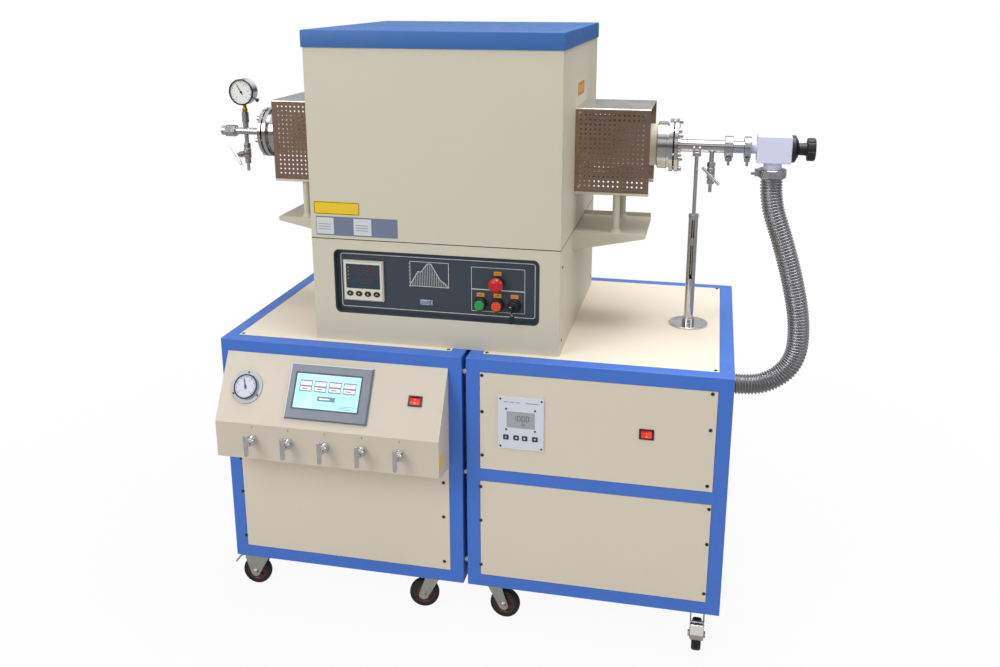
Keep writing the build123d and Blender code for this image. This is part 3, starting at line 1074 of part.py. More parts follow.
def build_vacuum_line():
    """Pipe, clamped joints, angle valve with its knob, hose and the port on the cabinet's side."""
    d, r = KF_DISC, KF_DISC_RADIUS
    pipe_end = FIRST_CLAMP_X - RIGHT_LINE_X
    pipe = lathe([(0, PIPE_RADIUS + 4), (4, PIPE_RADIUS + 4), (4, PIPE_RADIUS), (pipe_end - d, PIPE_RADIUS),
                  (pipe_end - d, r), (pipe_end, r)], (RIGHT_LINE_X, AXIS_Y, AXIS_Z), (1, 0, 0))
    valve_top = AXIS_Z - PIPE_RADIUS + 2
    valve = [solid - pipe for solid in vent_valve(RIGHT_VALVE_X, valve_top, -90)]
    gap = SECOND_CLAMP_X - FIRST_CLAMP_X
    nipple = lathe([(0, r), (d, r), (d, PIPE_RADIUS - 1), (gap - d, PIPE_RADIUS - 1), (gap - d, r), (gap, r)],
                   (FIRST_CLAMP_X, AXIS_Y, AXIS_Z), (1, 0, 0))
    add("vacuum_line", pipe, *valve, nipple)
    add("vent_valve_handle", tee_handle(RIGHT_VALVE_X, valve_top, -90, 45))

    half = ANGLE_BODY_SIDE / 2
    block = slab((ANGLE_BODY_LEFT, ANGLE_BODY_RIGHT), (AXIS_Y - half, AXIS_Y + half),
                 (AXIS_Z - half, AXIS_Z + half))
    block = fillet(block.edges(), ANGLE_BODY_EDGE)
    neck = lathe([(0, r), (d, r), (d, PIPE_RADIUS - 1), (ANGLE_BODY_LEFT - SECOND_CLAMP_X, PIPE_RADIUS - 1)],
                 (SECOND_CLAMP_X, AXIS_Y, AXIS_Z), (1, 0, 0))
    mid_z = HOSE_CLAMP_TOP - HOSE_CLAMP_HEIGHT / 2
    outlet = lathe([(0, OUTLET_NECK_RADIUS), (AXIS_Z - half - mid_z - d, OUTLET_NECK_RADIUS),
                    (AXIS_Z - half - mid_z - d, HOSE_DISC_RADIUS), (AXIS_Z - half - mid_z, HOSE_DISC_RADIUS)],
                   (OUTLET_X, AXIS_Y, AXIS_Z - half), (0, 0, -1))
    cap_half = half - 0.5
    cap = lathe([(0, cap_half), (8, cap_half), (ANGLE_CAP_LENGTH, KNOB_NECK_RADIUS + 5)],
                (ANGLE_BODY_RIGHT, AXIS_Y, AXIS_Z), (1, 0, 0), 6 + RUNNING_CLEARANCE)
    block -= rod(6 + RUNNING_CLEARANCE, (ANGLE_BODY_RIGHT - 12, AXIS_Y, AXIS_Z), (1, 0, 0), 20)
    add("angle_valve_body", block + neck + outlet, cap)
    knob = lathe([(0, KNOB_NECK_RADIUS), (18, KNOB_NECK_RADIUS + 1), (19, KNOB_RADIUS - 2), (21, KNOB_RADIUS),
                  (KNOB_LENGTH - 3, KNOB_RADIUS), (KNOB_LENGTH, KNOB_RADIUS - 3)],
                  (KNOB_START, AXIS_Y, AXIS_Z), (1, 0, 0))
    knob += rod(6, (ANGLE_BODY_RIGHT - 8, AXIS_Y, AXIS_Z), (1, 0, 0), ANGLE_CAP_LENGTH + 10)
    for place in PolarLocations(KNOB_RADIUS + 2.5, 8):
        flute = rod(4.5, (KNOB_START + 17, AXIS_Y + place.position.X, AXIS_Z + place.position.Y), (1, 0, 0),
                    KNOB_LENGTH)
        knob -= flute
    add("angle_valve_knob", knob)

    hose_end = lathe([(0, HOSE_DISC_RADIUS), (d, HOSE_DISC_RADIUS), (d, HOSE_LIP_RADIUS - 1),
                      (d + 4, HOSE_LIP_RADIUS - 1)],
                     (OUTLET_X, AXIS_Y, mid_z), (0, 0, -1))
    wall_x = VACUUM_LEFT + CABINET_WIDTH
    port = lathe([(0, HOSE_DISC_RADIUS + 6), (4, HOSE_DISC_RADIUS + 6), (4, HOSE_DISC_RADIUS),
                  (HOSE_PORT_X - wall_x, HOSE_DISC_RADIUS)], (wall_x, AXIS_Y, HOSE_PORT_Z), (1, 0, 0))
    port += rod(PIPE_RADIUS - 0.5, (wall_x - 40, AXIS_Y, HOSE_PORT_Z), (1, 0, 0), 41)
    clamps = [
        clamp((FIRST_CLAMP_X, AXIS_Y, AXIS_Z), (1, 0, 0), CLAMP_RADIUS, CLAMP_LIP_RADIUS, r,
              FIRST_CLAMP_WIDTH, (0, 0, -1)),
        clamp((SECOND_CLAMP_X, AXIS_Y, AXIS_Z), (1, 0, 0), CLAMP_RADIUS, CLAMP_LIP_RADIUS, r,
              SECOND_CLAMP_WIDTH,
              (0, 0, -1)),
        clamp((OUTLET_X, AXIS_Y, mid_z), (0, 0, -1), HOSE_CLAMP_RADIUS, HOSE_LIP_RADIUS, HOSE_DISC_RADIUS,
              HOSE_CLAMP_HEIGHT, (-1, 0, 0)),
    ]
    add("kf_fittings", *clamps, hose_end, port)
    add("bellows_hose", hose())


def hose():
    """Plain tube along the free hose's route, straight runs joined by tangent arcs."""
    points = [Vector(x, AXIS_Y, z) for x, z in HOSE_POINTS]
    radii = []
    for before, at, after in zip(points, points[1:], points[2:]):
        turn = (at - before).get_angle(after - at)
        shorter = min((at - before).length, (after - at).length)
        radii.append(0.45 * shorter / math.tan(math.radians(turn / 2)))
    print("hose bend radii", [round(radius) for radius in radii])
    path = FilletPolyline(*points, radius=radii)
    start = Plane(origin=points[0], z_dir=points[1] - points[0])
    tube = sweep(start * Circle(HOSE_RADIUS), path=path)
    print("hose volume", round(tube.volume), "section times length",
          round(math.pi * HOSE_RADIUS ** 2 * path.length))
    return tube


# ---------------------------------------------------------------- pipe stand

def build_stand():
    """Stand tube on its round base, and the rod that lifts the cradle under the pipe."""
    base = lathe([(0, STAND_BASE_RADIUS), (STAND_BASE_HEIGHT - 1, STAND_BASE_RADIUS),
                  (STAND_BASE_HEIGHT, STAND_BASE_RADIUS - 1)],
                 (STAND_X, AXIS_Y, CABINET_TOP), (0, 0, 1))
    collar_top = CABINET_TOP + 18
    collar = rod(STAND_TUBE_RADIUS + 4, (STAND_X, AXIS_Y, CABINET_TOP + STAND_BASE_HEIGHT), (0, 0, 1),
                 collar_top - CABINET_TOP - STAND_BASE_HEIGHT)
    tube = rod(STAND_TUBE_RADIUS, (STAND_X, AXIS_Y, collar_top), (0, 0, 1), STAND_TUBE_TOP - collar_top)
    bore_bottom = ROD_BOTTOM - ROD_TRAVEL - ROD_END_CLEARANCE
    tube -= rod(STAND_TUBE_BORE, (STAND_X, AXIS_Y, bore_bottom), (0, 0, 1),
                STAND_TUBE_TOP - STAND_BUSH_LENGTH - bore_bottom)
    tube -= rod(ROD_RADIUS + RUNNING_CLEARANCE, (STAND_X, AXIS_Y, bore_bottom), (0, 0, 1), STAND_TUBE_TOP)
    slot_top = STAND_TUBE_TOP - STAND_BUSH_LENGTH
    half = STAND_SLOT_WIDTH / 2
    tube -= slab((STAND_X - half, STAND_X + half), (AXIS_Y - 2 * STAND_TUBE_RADIUS, AXIS_Y),
                 (slot_top - STAND_SLOT_LENGTH, slot_top))
    add("stand_tube", base, collar, tube)

    wire_path = PIPE_RADIUS + CRADLE_GAP + CRADLE_WIRE_RADIUS
    block_top = AXIS_Z - PIPE_RADIUS - CRADLE_GAP
    piece = rod(ROD_RADIUS, (STAND_X, AXIS_Y, ROD_BOTTOM), (0, 0, 1), block_top - 8 - ROD_BOTTOM)
    piece += rod(STAND_TUBE_BORE - RUNNING_CLEARANCE - 0.05, (STAND_X, AXIS_Y, ROD_BOTTOM), (0, 0, 1),
                 GUIDE_LENGTH)
    piece += slab((STAND_X - CRADLE_SPACING / 2 - 3, STAND_X + CRADLE_SPACING / 2 + 3),
                  (AXIS_Y - CRADLE_BLOCK_RADIUS, AXIS_Y + CRADLE_BLOCK_RADIUS),
                  (block_top - 9, block_top - 3.4))
    for side in (-1, 1):
        x = STAND_X + side * CRADLE_SPACING / 2
        torus = Rot(0, 90, 0) * Torus(wire_path, CRADLE_WIRE_RADIUS)
        lower = torus & slab((-10, 10), (-40, 40), (-40, -3))
        piece += Pos(x, AXIS_Y, AXIS_Z) * lower
        for front in (-1, 1):
            piece += Pos(x, AXIS_Y + front * (wire_path + 1.7), AXIS_Z - 3) * Sphere(CRADLE_BALL_RADIUS)
    add("support_rod", piece)


# ---------------------------------------------------------------- equipment inside the cabinets

def build_equipment():
    """Vacuum pump on the vacuum cabinet's floor, mixing tank on the gas cabinet's floor."""
    floor = CABINET_BOTTOM + PANEL_SHEET
    pump = slab((PUMP_X - PUMP_BOX / 2, PUMP_X + PUMP_BOX / 2), (PUMP_Y - PUMP_BOX, PUMP_Y),
                (floor + PUMP_FOOT, floor + PUMP_FOOT + PUMP_HEIGHT))
    pump = fillet(pump.edges().filter_by(Axis.Z), 10)
    fin_count = 9
    motor = rod(MOTOR_RADIUS - 5, (PUMP_X, PUMP_Y, PUMP_AXIS_Z), (0, 1, 0), MOTOR_LENGTH)
    for i in range(fin_count):
        y = PUMP_Y + MOTOR_LENGTH * (i + 0.5) / fin_count
        motor += rod(MOTOR_RADIUS, (PUMP_X, y, PUMP_AXIS_Z), (0, 1, 0), 5)
    inlet = rod(PIPE_RADIUS, (PUMP_X, PUMP_Y - PUMP_BOX / 2, floor + PUMP_FOOT + PUMP_HEIGHT - 2),
                (0, 0, 1), 40)
    feet = slab((PUMP_X - PUMP_BOX / 2, PUMP_X + PUMP_BOX / 2), (PUMP_Y - PUMP_BOX + 10, PUMP_Y - 20),
                (floor, floor + PUMP_FOOT))
    feet += slab((PUMP_X - 40, PUMP_X + 40), (PUMP_Y + MOTOR_LENGTH - 60, PUMP_Y + MOTOR_LENGTH - 20),
                 (floor, PUMP_AXIS_Z - MOTOR_RADIUS + 10))
    add("vacuum_pump", pump + motor + inlet + feet)

    half = TANK_LENGTH / 2
    r = TANK_RADIUS
    tank = lathe([(-half, r * 0.55), (-half + 14, r * 0.9), (-half + 30, r), (half - 30, r),
                  (half - 14, r * 0.9),
                  (half, r * 0.55)], (TANK_X, TANK_Y, TANK_AXIS_Z), (1, 0, 0))
    for x in (TANK_X - half * 0.6, TANK_X + half * 0.6):
        tank += slab((x - 8, x + 8), (TANK_Y - r * 0.7, TANK_Y + r * 0.7), (floor, TANK_AXIS_Z - r * 0.5))
    for i in range(FLOW_METER_COUNT):
        x = TANK_X + FLOW_METER_PITCH * (i - (FLOW_METER_COUNT - 1) / 2)
        tank += rod(5, (x, TANK_Y, TANK_AXIS_Z), (0, 0, 1), r + 14)
        tank += slab((x - 14, x + 14), (TANK_Y - 38, TANK_Y + 38),
                     (TANK_AXIS_Z + r + 12, TANK_AXIS_Z + r + 100))
    add("gas_mixing_tank", tank)


# ---------------------------------------------------------------- the whole station

build_cabinets()
build_casters()
build_console()
build_furnace()
build_control_panel()
build_ends()
build_lines()
build_stand()
build_equipment()

boxes = [shape.bounding_box() for name, shape in nodes.items() if name != "bellows_hose"]
x_span = (min(box.min.X for box in boxes), max(box.max.X for box in boxes))
y_span = (min(box.min.Y for box in boxes), max(box.max.Y for box in boxes))
ORIGIN = Vector(sum(x_span) / 2, sum(y_span) / 2, 0)

os.makedirs("parts", exist_ok=True)
for name, shape in nodes.items():
    export_step(shape.moved(Location(-ORIGIN)), f"parts/{name}.step")
print(len(nodes), "nodes; origin in layout", ORIGIN)
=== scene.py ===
import math

import bmesh
import bpy
from mathutils import Matrix, Vector


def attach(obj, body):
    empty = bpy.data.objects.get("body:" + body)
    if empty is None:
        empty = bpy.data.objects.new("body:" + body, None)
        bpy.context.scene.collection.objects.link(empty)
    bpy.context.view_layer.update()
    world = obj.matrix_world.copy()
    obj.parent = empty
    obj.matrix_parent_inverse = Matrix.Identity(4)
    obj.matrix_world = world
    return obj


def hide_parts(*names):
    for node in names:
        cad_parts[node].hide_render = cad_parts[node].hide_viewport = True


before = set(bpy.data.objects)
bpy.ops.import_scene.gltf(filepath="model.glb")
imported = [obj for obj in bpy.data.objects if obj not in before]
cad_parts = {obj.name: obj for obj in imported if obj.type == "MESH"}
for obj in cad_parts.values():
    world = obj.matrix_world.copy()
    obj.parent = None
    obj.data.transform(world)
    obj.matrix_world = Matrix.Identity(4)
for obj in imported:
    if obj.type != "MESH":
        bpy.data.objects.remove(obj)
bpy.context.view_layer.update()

# Places are written in millimetres: x = 0 is the seam between the two cabinets, y = 0 their front,
# z = 0 the floor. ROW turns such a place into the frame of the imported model, in metres.
ROW = Matrix.Scale(0.001, 4) @ Matrix.Translation((-11.5, -287.0, 0.0))
STATION = "station"


# ---------------------------------------------------------------- frames to build on

def facing(origin, out, right=(1, 0, 0)):
    """Matrix at a place, local Z out of a surface and local X to the right."""
    z = Vector(out).normalized()
    x = Vector(right).normalized()
    y = z.cross(x)
    turn = Matrix((x, y, z)).transposed().to_4x4()
    return Matrix.Translation(origin) @ turn


def front(x, z, y=0.0):
    return facing((x, y, z), (0, -1, 0))


def right_side(y, z, x):
    return facing((x, y, z), (1, 0, 0), (0, 1, 0))


def left_side(y, z, x):
    return facing((x, y, z), (-1, 0, 0), (0, -1, 0))


def back(x, z, y):
    return facing((x, y, z), (0, 1, 0), (-1, 0, 0))


def level(x, y, z):
    return facing((x, y, z), (0, 0, 1))


def console_slope(x, down):
    """On the sloped face of the gas console, a distance down from its top edge."""
    return facing((0, 0, 670), (0, -145, 88)) @ Matrix.Translation((x, -down, 0))


# ---------------------------------------------------------------- shader groups

def put(tree, kind, inputs=None, **options):
    """Add a node, set its options, and set or link its inputs."""
    made = tree.nodes.new(kind)
    for key, value in options.items():
        setattr(made, key, value)
    for key, value in (inputs or {}).items():
        if isinstance(value, bpy.types.NodeSocket):
            tree.links.new(value, made.inputs[key])
        else:
            made.inputs[key].default_value = value
    return made


def new_group(name, inputs, outputs, kind="ShaderNodeTree"):
    """Node group with named sockets. Returns the tree with its input and output nodes."""
    tree = bpy.data.node_groups.new(name, kind)
    for label, socket_type, default in inputs:
        socket = tree.interface.new_socket(label, in_out="INPUT", socket_type=socket_type)
        if default is not None:
            socket.default_value = default
    for label, socket_type in outputs:
        tree.interface.new_socket(label, in_out="OUTPUT", socket_type=socket_type)
    return tree, tree.nodes.new("NodeGroupInput"), tree.nodes.new("NodeGroupOutput")


def scaled_range(tree, value, low, high, to_low, to_high):
    made = put(tree, "ShaderNodeMapRange", {"Value": value, 1: low, 2: high, 3: to_low, 4: to_high})
    return made.outputs["Result"]


def blended(tree, fac, a, b):
    made = put(tree, "ShaderNodeMix", data_type="RGBA")
    for index, value in ((0, fac), (6, a), (7, b)):
        if isinstance(value, bpy.types.NodeSocket):
            tree.links.new(value, made.inputs[index])
        else:
            made.inputs[index].default_value = value
    return made.outputs[2]


def make_worn_edge():
    """Softened edges: a rounded normal, and a mask of where sheet edges are rubbed."""
    tree, inward, outward = new_group(
        "Worn edge",
        [("Radius", "NodeSocketFloat", 0.0012), ("Amount", "NodeSocketFloat", 1.0)],
        [("Mask", "NodeSocketFloat"), ("Normal", "NodeSocketVector")])
    rounded = put(tree, "ShaderNodeBevel", {"Radius": inward.outputs["Radius"]}, samples=4)
    surface = put(tree, "ShaderNodeNewGeometry")
    dot = put(tree, "ShaderNodeVectorMath", {0: rounded.outputs[0], 1: surface.outputs["Normal"]},
              operation="DOT_PRODUCT")
    edge = scaled_range(tree, dot.outputs["Value"], 0.995, 0.90, 0.0, 1.0)
    place = put(tree, "ShaderNodeTexCoord")
    spots = put(tree, "ShaderNodeTexNoise", {"Vector": place.outputs["Object"], "Scale": 90.0,
                                             "Detail": 4.0})
    broken = scaled_range(tree, spots.outputs["Fac"], 0.42, 0.66, 0.0, 1.0)
    both = put(tree, "ShaderNodeMath", {0: edge, 1: broken}, operation="MULTIPLY")
    strength = put(tree, "ShaderNodeMath", {0: both.outputs[0], 1: inward.outputs["Amount"]},
                   operation="MULTIPLY")
    tree.links.new(strength.outputs[0], outward.inputs["Mask"])
    tree.links.new(rounded.outputs[0], outward.inputs["Normal"])
    return tree


def make_powder_coat():
    """Baked paint: faint cloudiness, a few dull marks and a fine orange peel."""
    tree, inward, outward = new_group(
        "Powder coat",
        [("Colour", "NodeSocketColor", (0.7, 0.7, 0.7, 1)),
         ("Shade", "NodeSocketColor", (0.6, 0.6, 0.6, 1)),
         ("Smoothest", "NodeSocketFloat", 0.38), ("Roughest", "NodeSocketFloat", 0.52),
         ("Peel Scale", "NodeSocketFloat", 700.0)],
        [("Colour", "NodeSocketColor"), ("Roughness", "NodeSocketFloat"), ("Height", "NodeSocketFloat")])
    place = put(tree, "ShaderNodeTexCoord").outputs["Object"]
    cloud = put(tree, "ShaderNodeTexNoise", {"Vector": place, "Scale": 3.0, "Detail": 5.0,
                                             "Roughness": 0.6})
    marks = put(tree, "ShaderNodeTexNoise", {"Vector": place, "Scale": 26.0, "Detail": 6.0,
                                             "Roughness": 0.7})
    peel = put(tree, "ShaderNodeTexNoise", {"Vector": place, "Scale": inward.outputs["Peel Scale"],
                                            "Detail": 1.0})
    fac = scaled_range(tree, cloud.outputs["Fac"], 0.35, 0.75, 0.0, 0.5)
    spot = scaled_range(tree, marks.outputs["Fac"], 0.60, 0.78, 0.0, 0.5)
    total = put(tree, "ShaderNodeMath", {0: fac, 1: spot}, operation="ADD", use_clamp=True)
    colour = blended(tree, total.outputs[0], inward.outputs["Colour"], inward.outputs["Shade"])
    rough = put(tree, "ShaderNodeMapRange", {"Value": marks.outputs["Fac"], 1: 0.3, 2: 0.7,
                                             3: inward.outputs["Smoothest"], 4: inward.outputs["Roughest"]})
    tree.links.new(colour, outward.inputs["Colour"])
    tree.links.new(rough.outputs[0], outward.inputs["Roughness"])
    tree.links.new(peel.outputs["Fac"], outward.inputs["Height"])
    return tree


def make_brushed_grain():
    """Drawn or turned metal: streaks along one way, with handling marks over them."""
    tree, inward, outward = new_group(
        "Brushed grain",
        [("Colour", "NodeSocketColor", (0.6, 0.6, 0.6, 1)),
         ("Shade", "NodeSocketColor", (0.4, 0.4, 0.4, 1)),
         ("Stretch", "NodeSocketVector", (6.0, 500.0, 500.0)), ("Smoothest", "NodeSocketFloat", 0.2),
         ("Roughest", "NodeSocketFloat", 0.4)],
        [("Colour", "NodeSocketColor"), ("Roughness", "NodeSocketFloat"), ("Height", "NodeSocketFloat")])
    place = put(tree, "ShaderNodeTexCoord").outputs["Object"]
    drawn = put(tree, "ShaderNodeVectorMath", {0: place, 1: inward.outputs["Stretch"]},
                operation="MULTIPLY")
    streak = put(tree, "ShaderNodeTexNoise", {"Vector": drawn.outputs[0], "Scale": 1.0, "Detail": 3.0,
                                              "Roughness": 0.6})
    marks = put(tree, "ShaderNodeTexNoise", {"Vector": place, "Scale": 14.0, "Detail": 6.0,
                                             "Roughness": 0.72})
    spot = scaled_range(tree, marks.outputs["Fac"], 0.45, 0.75, 0.0, 0.6)
    line = scaled_range(tree, streak.outputs["Fac"], 0.30, 0.75, 0.0, 0.7)
    total = put(tree, "ShaderNodeMath", {0: line, 1: spot}, operation="ADD", use_clamp=True)
    colour = blended(tree, total.outputs[0], inward.outputs["Colour"], inward.outputs["Shade"])
    rough = put(tree, "ShaderNodeMapRange", {"Value": total.outputs[0], 1: 0.0, 2: 1.0,
                                             3: inward.outputs["Smoothest"], 4: inward.outputs["Roughest"]})
    tree.links.new(colour, outward.inputs["Colour"])
    tree.links.new(rough.outputs[0], outward.inputs["Roughness"])
    tree.links.new(streak.outputs["Fac"], outward.inputs["Height"])
    return tree


WORN_EDGE = make_worn_edge()
POWDER_COAT = make_powder_coat()
BRUSHED_GRAIN = make_brushed_grain()


# ---------------------------------------------------------------- materials

def rgb(red, green, blue):
    """Linear colour from the 0-255 values of a paint chart."""
    def linear(value):
        value /= 255
        return value / 12.92 if value <= 0.04045 else ((value + 0.055) / 1.055) ** 2.4
    return (linear(red), linear(green), linear(blue), 1.0)


def dimmed(colour, by):
    return (colour[0] * by, colour[1] * by, colour[2] * by, 1.0)


def new_material(name):
    material = bpy.data.materials.new(name)
    material.use_nodes = True
    tree = material.node_tree
    return material, tree, tree.nodes["Principled BSDF"]


def finish_surface(tree, shader, effect, edge_colour=None, edge_amount=0.5, radius=0.0012, bump=0.1,
                   depth=0.0002):
    """Feed one of the surface groups and the worn edge to the shader."""
    colour = effect.outputs["Colour"]
    if edge_colour is None:
        raised = put(tree, "ShaderNodeBump", {"Strength": bump, "Distance": depth,
                                              "Height": effect.outputs["Height"]})
    else:
        edge = put(tree, "ShaderNodeGroup", node_tree=WORN_EDGE)
        edge.inputs["Radius"].default_value = radius
        edge.inputs["Amount"].default_value = edge_amount
        colour = blended(tree, edge.outputs["Mask"], colour, edge_colour)
        raised = put(tree, "ShaderNodeBump", {"Strength": bump, "Distance": depth,
                                              "Height": effect.outputs["Height"],
                                              "Normal": edge.outputs["Normal"]})
    tree.links.new(colour, shader.inputs["Base Color"])
    tree.links.new(effect.outputs["Roughness"], shader.inputs["Roughness"])
    tree.links.new(raised.outputs["Normal"], shader.inputs["Normal"])


def painted(name, colour, smooth=0.36, rough=0.5, wear=0.35, shade=0.93, peel=700.0, bump=0.06, coat=0.0,
            radius=0.0012,
            top=None):
    """Paint or moulded plastic; top is a lighter colour painted on faces that point up, as painted light
    from above.
    """
    material, tree, shader = new_material(name)
    effect = put(tree, "ShaderNodeGroup", node_tree=POWDER_COAT)
    effect.inputs["Colour"].default_value = colour
    effect.inputs["Shade"].default_value = dimmed(colour, shade)
    effect.inputs["Smoothest"].default_value = smooth
    effect.inputs["Roughest"].default_value = rough
    effect.inputs["Peel Scale"].default_value = peel
    # Faces that point up are blended to the top colour: painted light falling from above.
    if top:
        normal = put(tree, "ShaderNodeNewGeometry").outputs["True Normal"]
        share = scaled_range(tree, put(tree, "ShaderNodeSeparateXYZ", {0: normal}).outputs["Z"], 0.5, 0.9,
                             0.0, 1.0)
        tree.links.new(blended(tree, share, colour, top), effect.inputs["Colour"])
        tree.links.new(blended(tree, share, dimmed(colour, shade), dimmed(top, shade)),
                       effect.inputs["Shade"])
    light = tuple(min(1.0, 0.55 * c + 0.40) for c in colour[:3]) + (1.0,)
    finish_surface(tree, shader, effect, light if wear else None, wear, radius, bump)
    if coat:
        shader.inputs["Coat Weight"].default_value = coat
        shader.inputs["Coat Roughness"].default_value = 0.12
    return material


def metal(name, colour, stretch=(6.0, 420.0, 420.0), smooth=0.18, rough=0.36, shade=0.72, wear=0.25,
          bump=0.08, radius=0.0008):
    """Bare metal with its drawn or turned grain."""
    material, tree, shader = new_material(name)
    effect = put(tree, "ShaderNodeGroup", node_tree=BRUSHED_GRAIN)
    effect.inputs["Colour"].default_value = colour
    effect.inputs["Shade"].default_value = dimmed(colour, shade)
    effect.inputs["Stretch"].default_value = stretch
    effect.inputs["Smoothest"].default_value = smooth
    effect.inputs["Roughest"].default_value = rough
    shader.inputs["Metallic"].default_value = 1.0
    light = tuple(min(1.0, c * 1.15 + 0.05) for c in colour[:3]) + (1.0,)
    finish_surface(tree, shader, effect, light if wear else None, wear, radius, bump, 0.0001)
    return material


def glowing(name, colour, far_colour, strength, scale=9.0):
    """Lit display: two near colours that drift into each other, giving off a little light."""
    material, tree, shader = new_material(name)
    place = put(tree, "ShaderNodeTexCoord").outputs["Object"]
    drift = put(tree, "ShaderNodeTexNoise", {"Vector": place, "Scale": scale, "Detail": 1.0})
    shown = blended(tree, scaled_range(tree, drift.outputs["Fac"], 0.3, 0.7, 0.0, 1.0), colour, far_colour)
    tree.links.new(shown, shader.inputs["Base Color"])
    tree.links.new(shown, shader.inputs["Emission Color"])
    shader.inputs["Emission Strength"].default_value = strength
    shader.inputs["Roughness"].default_value = 0.25
    return material


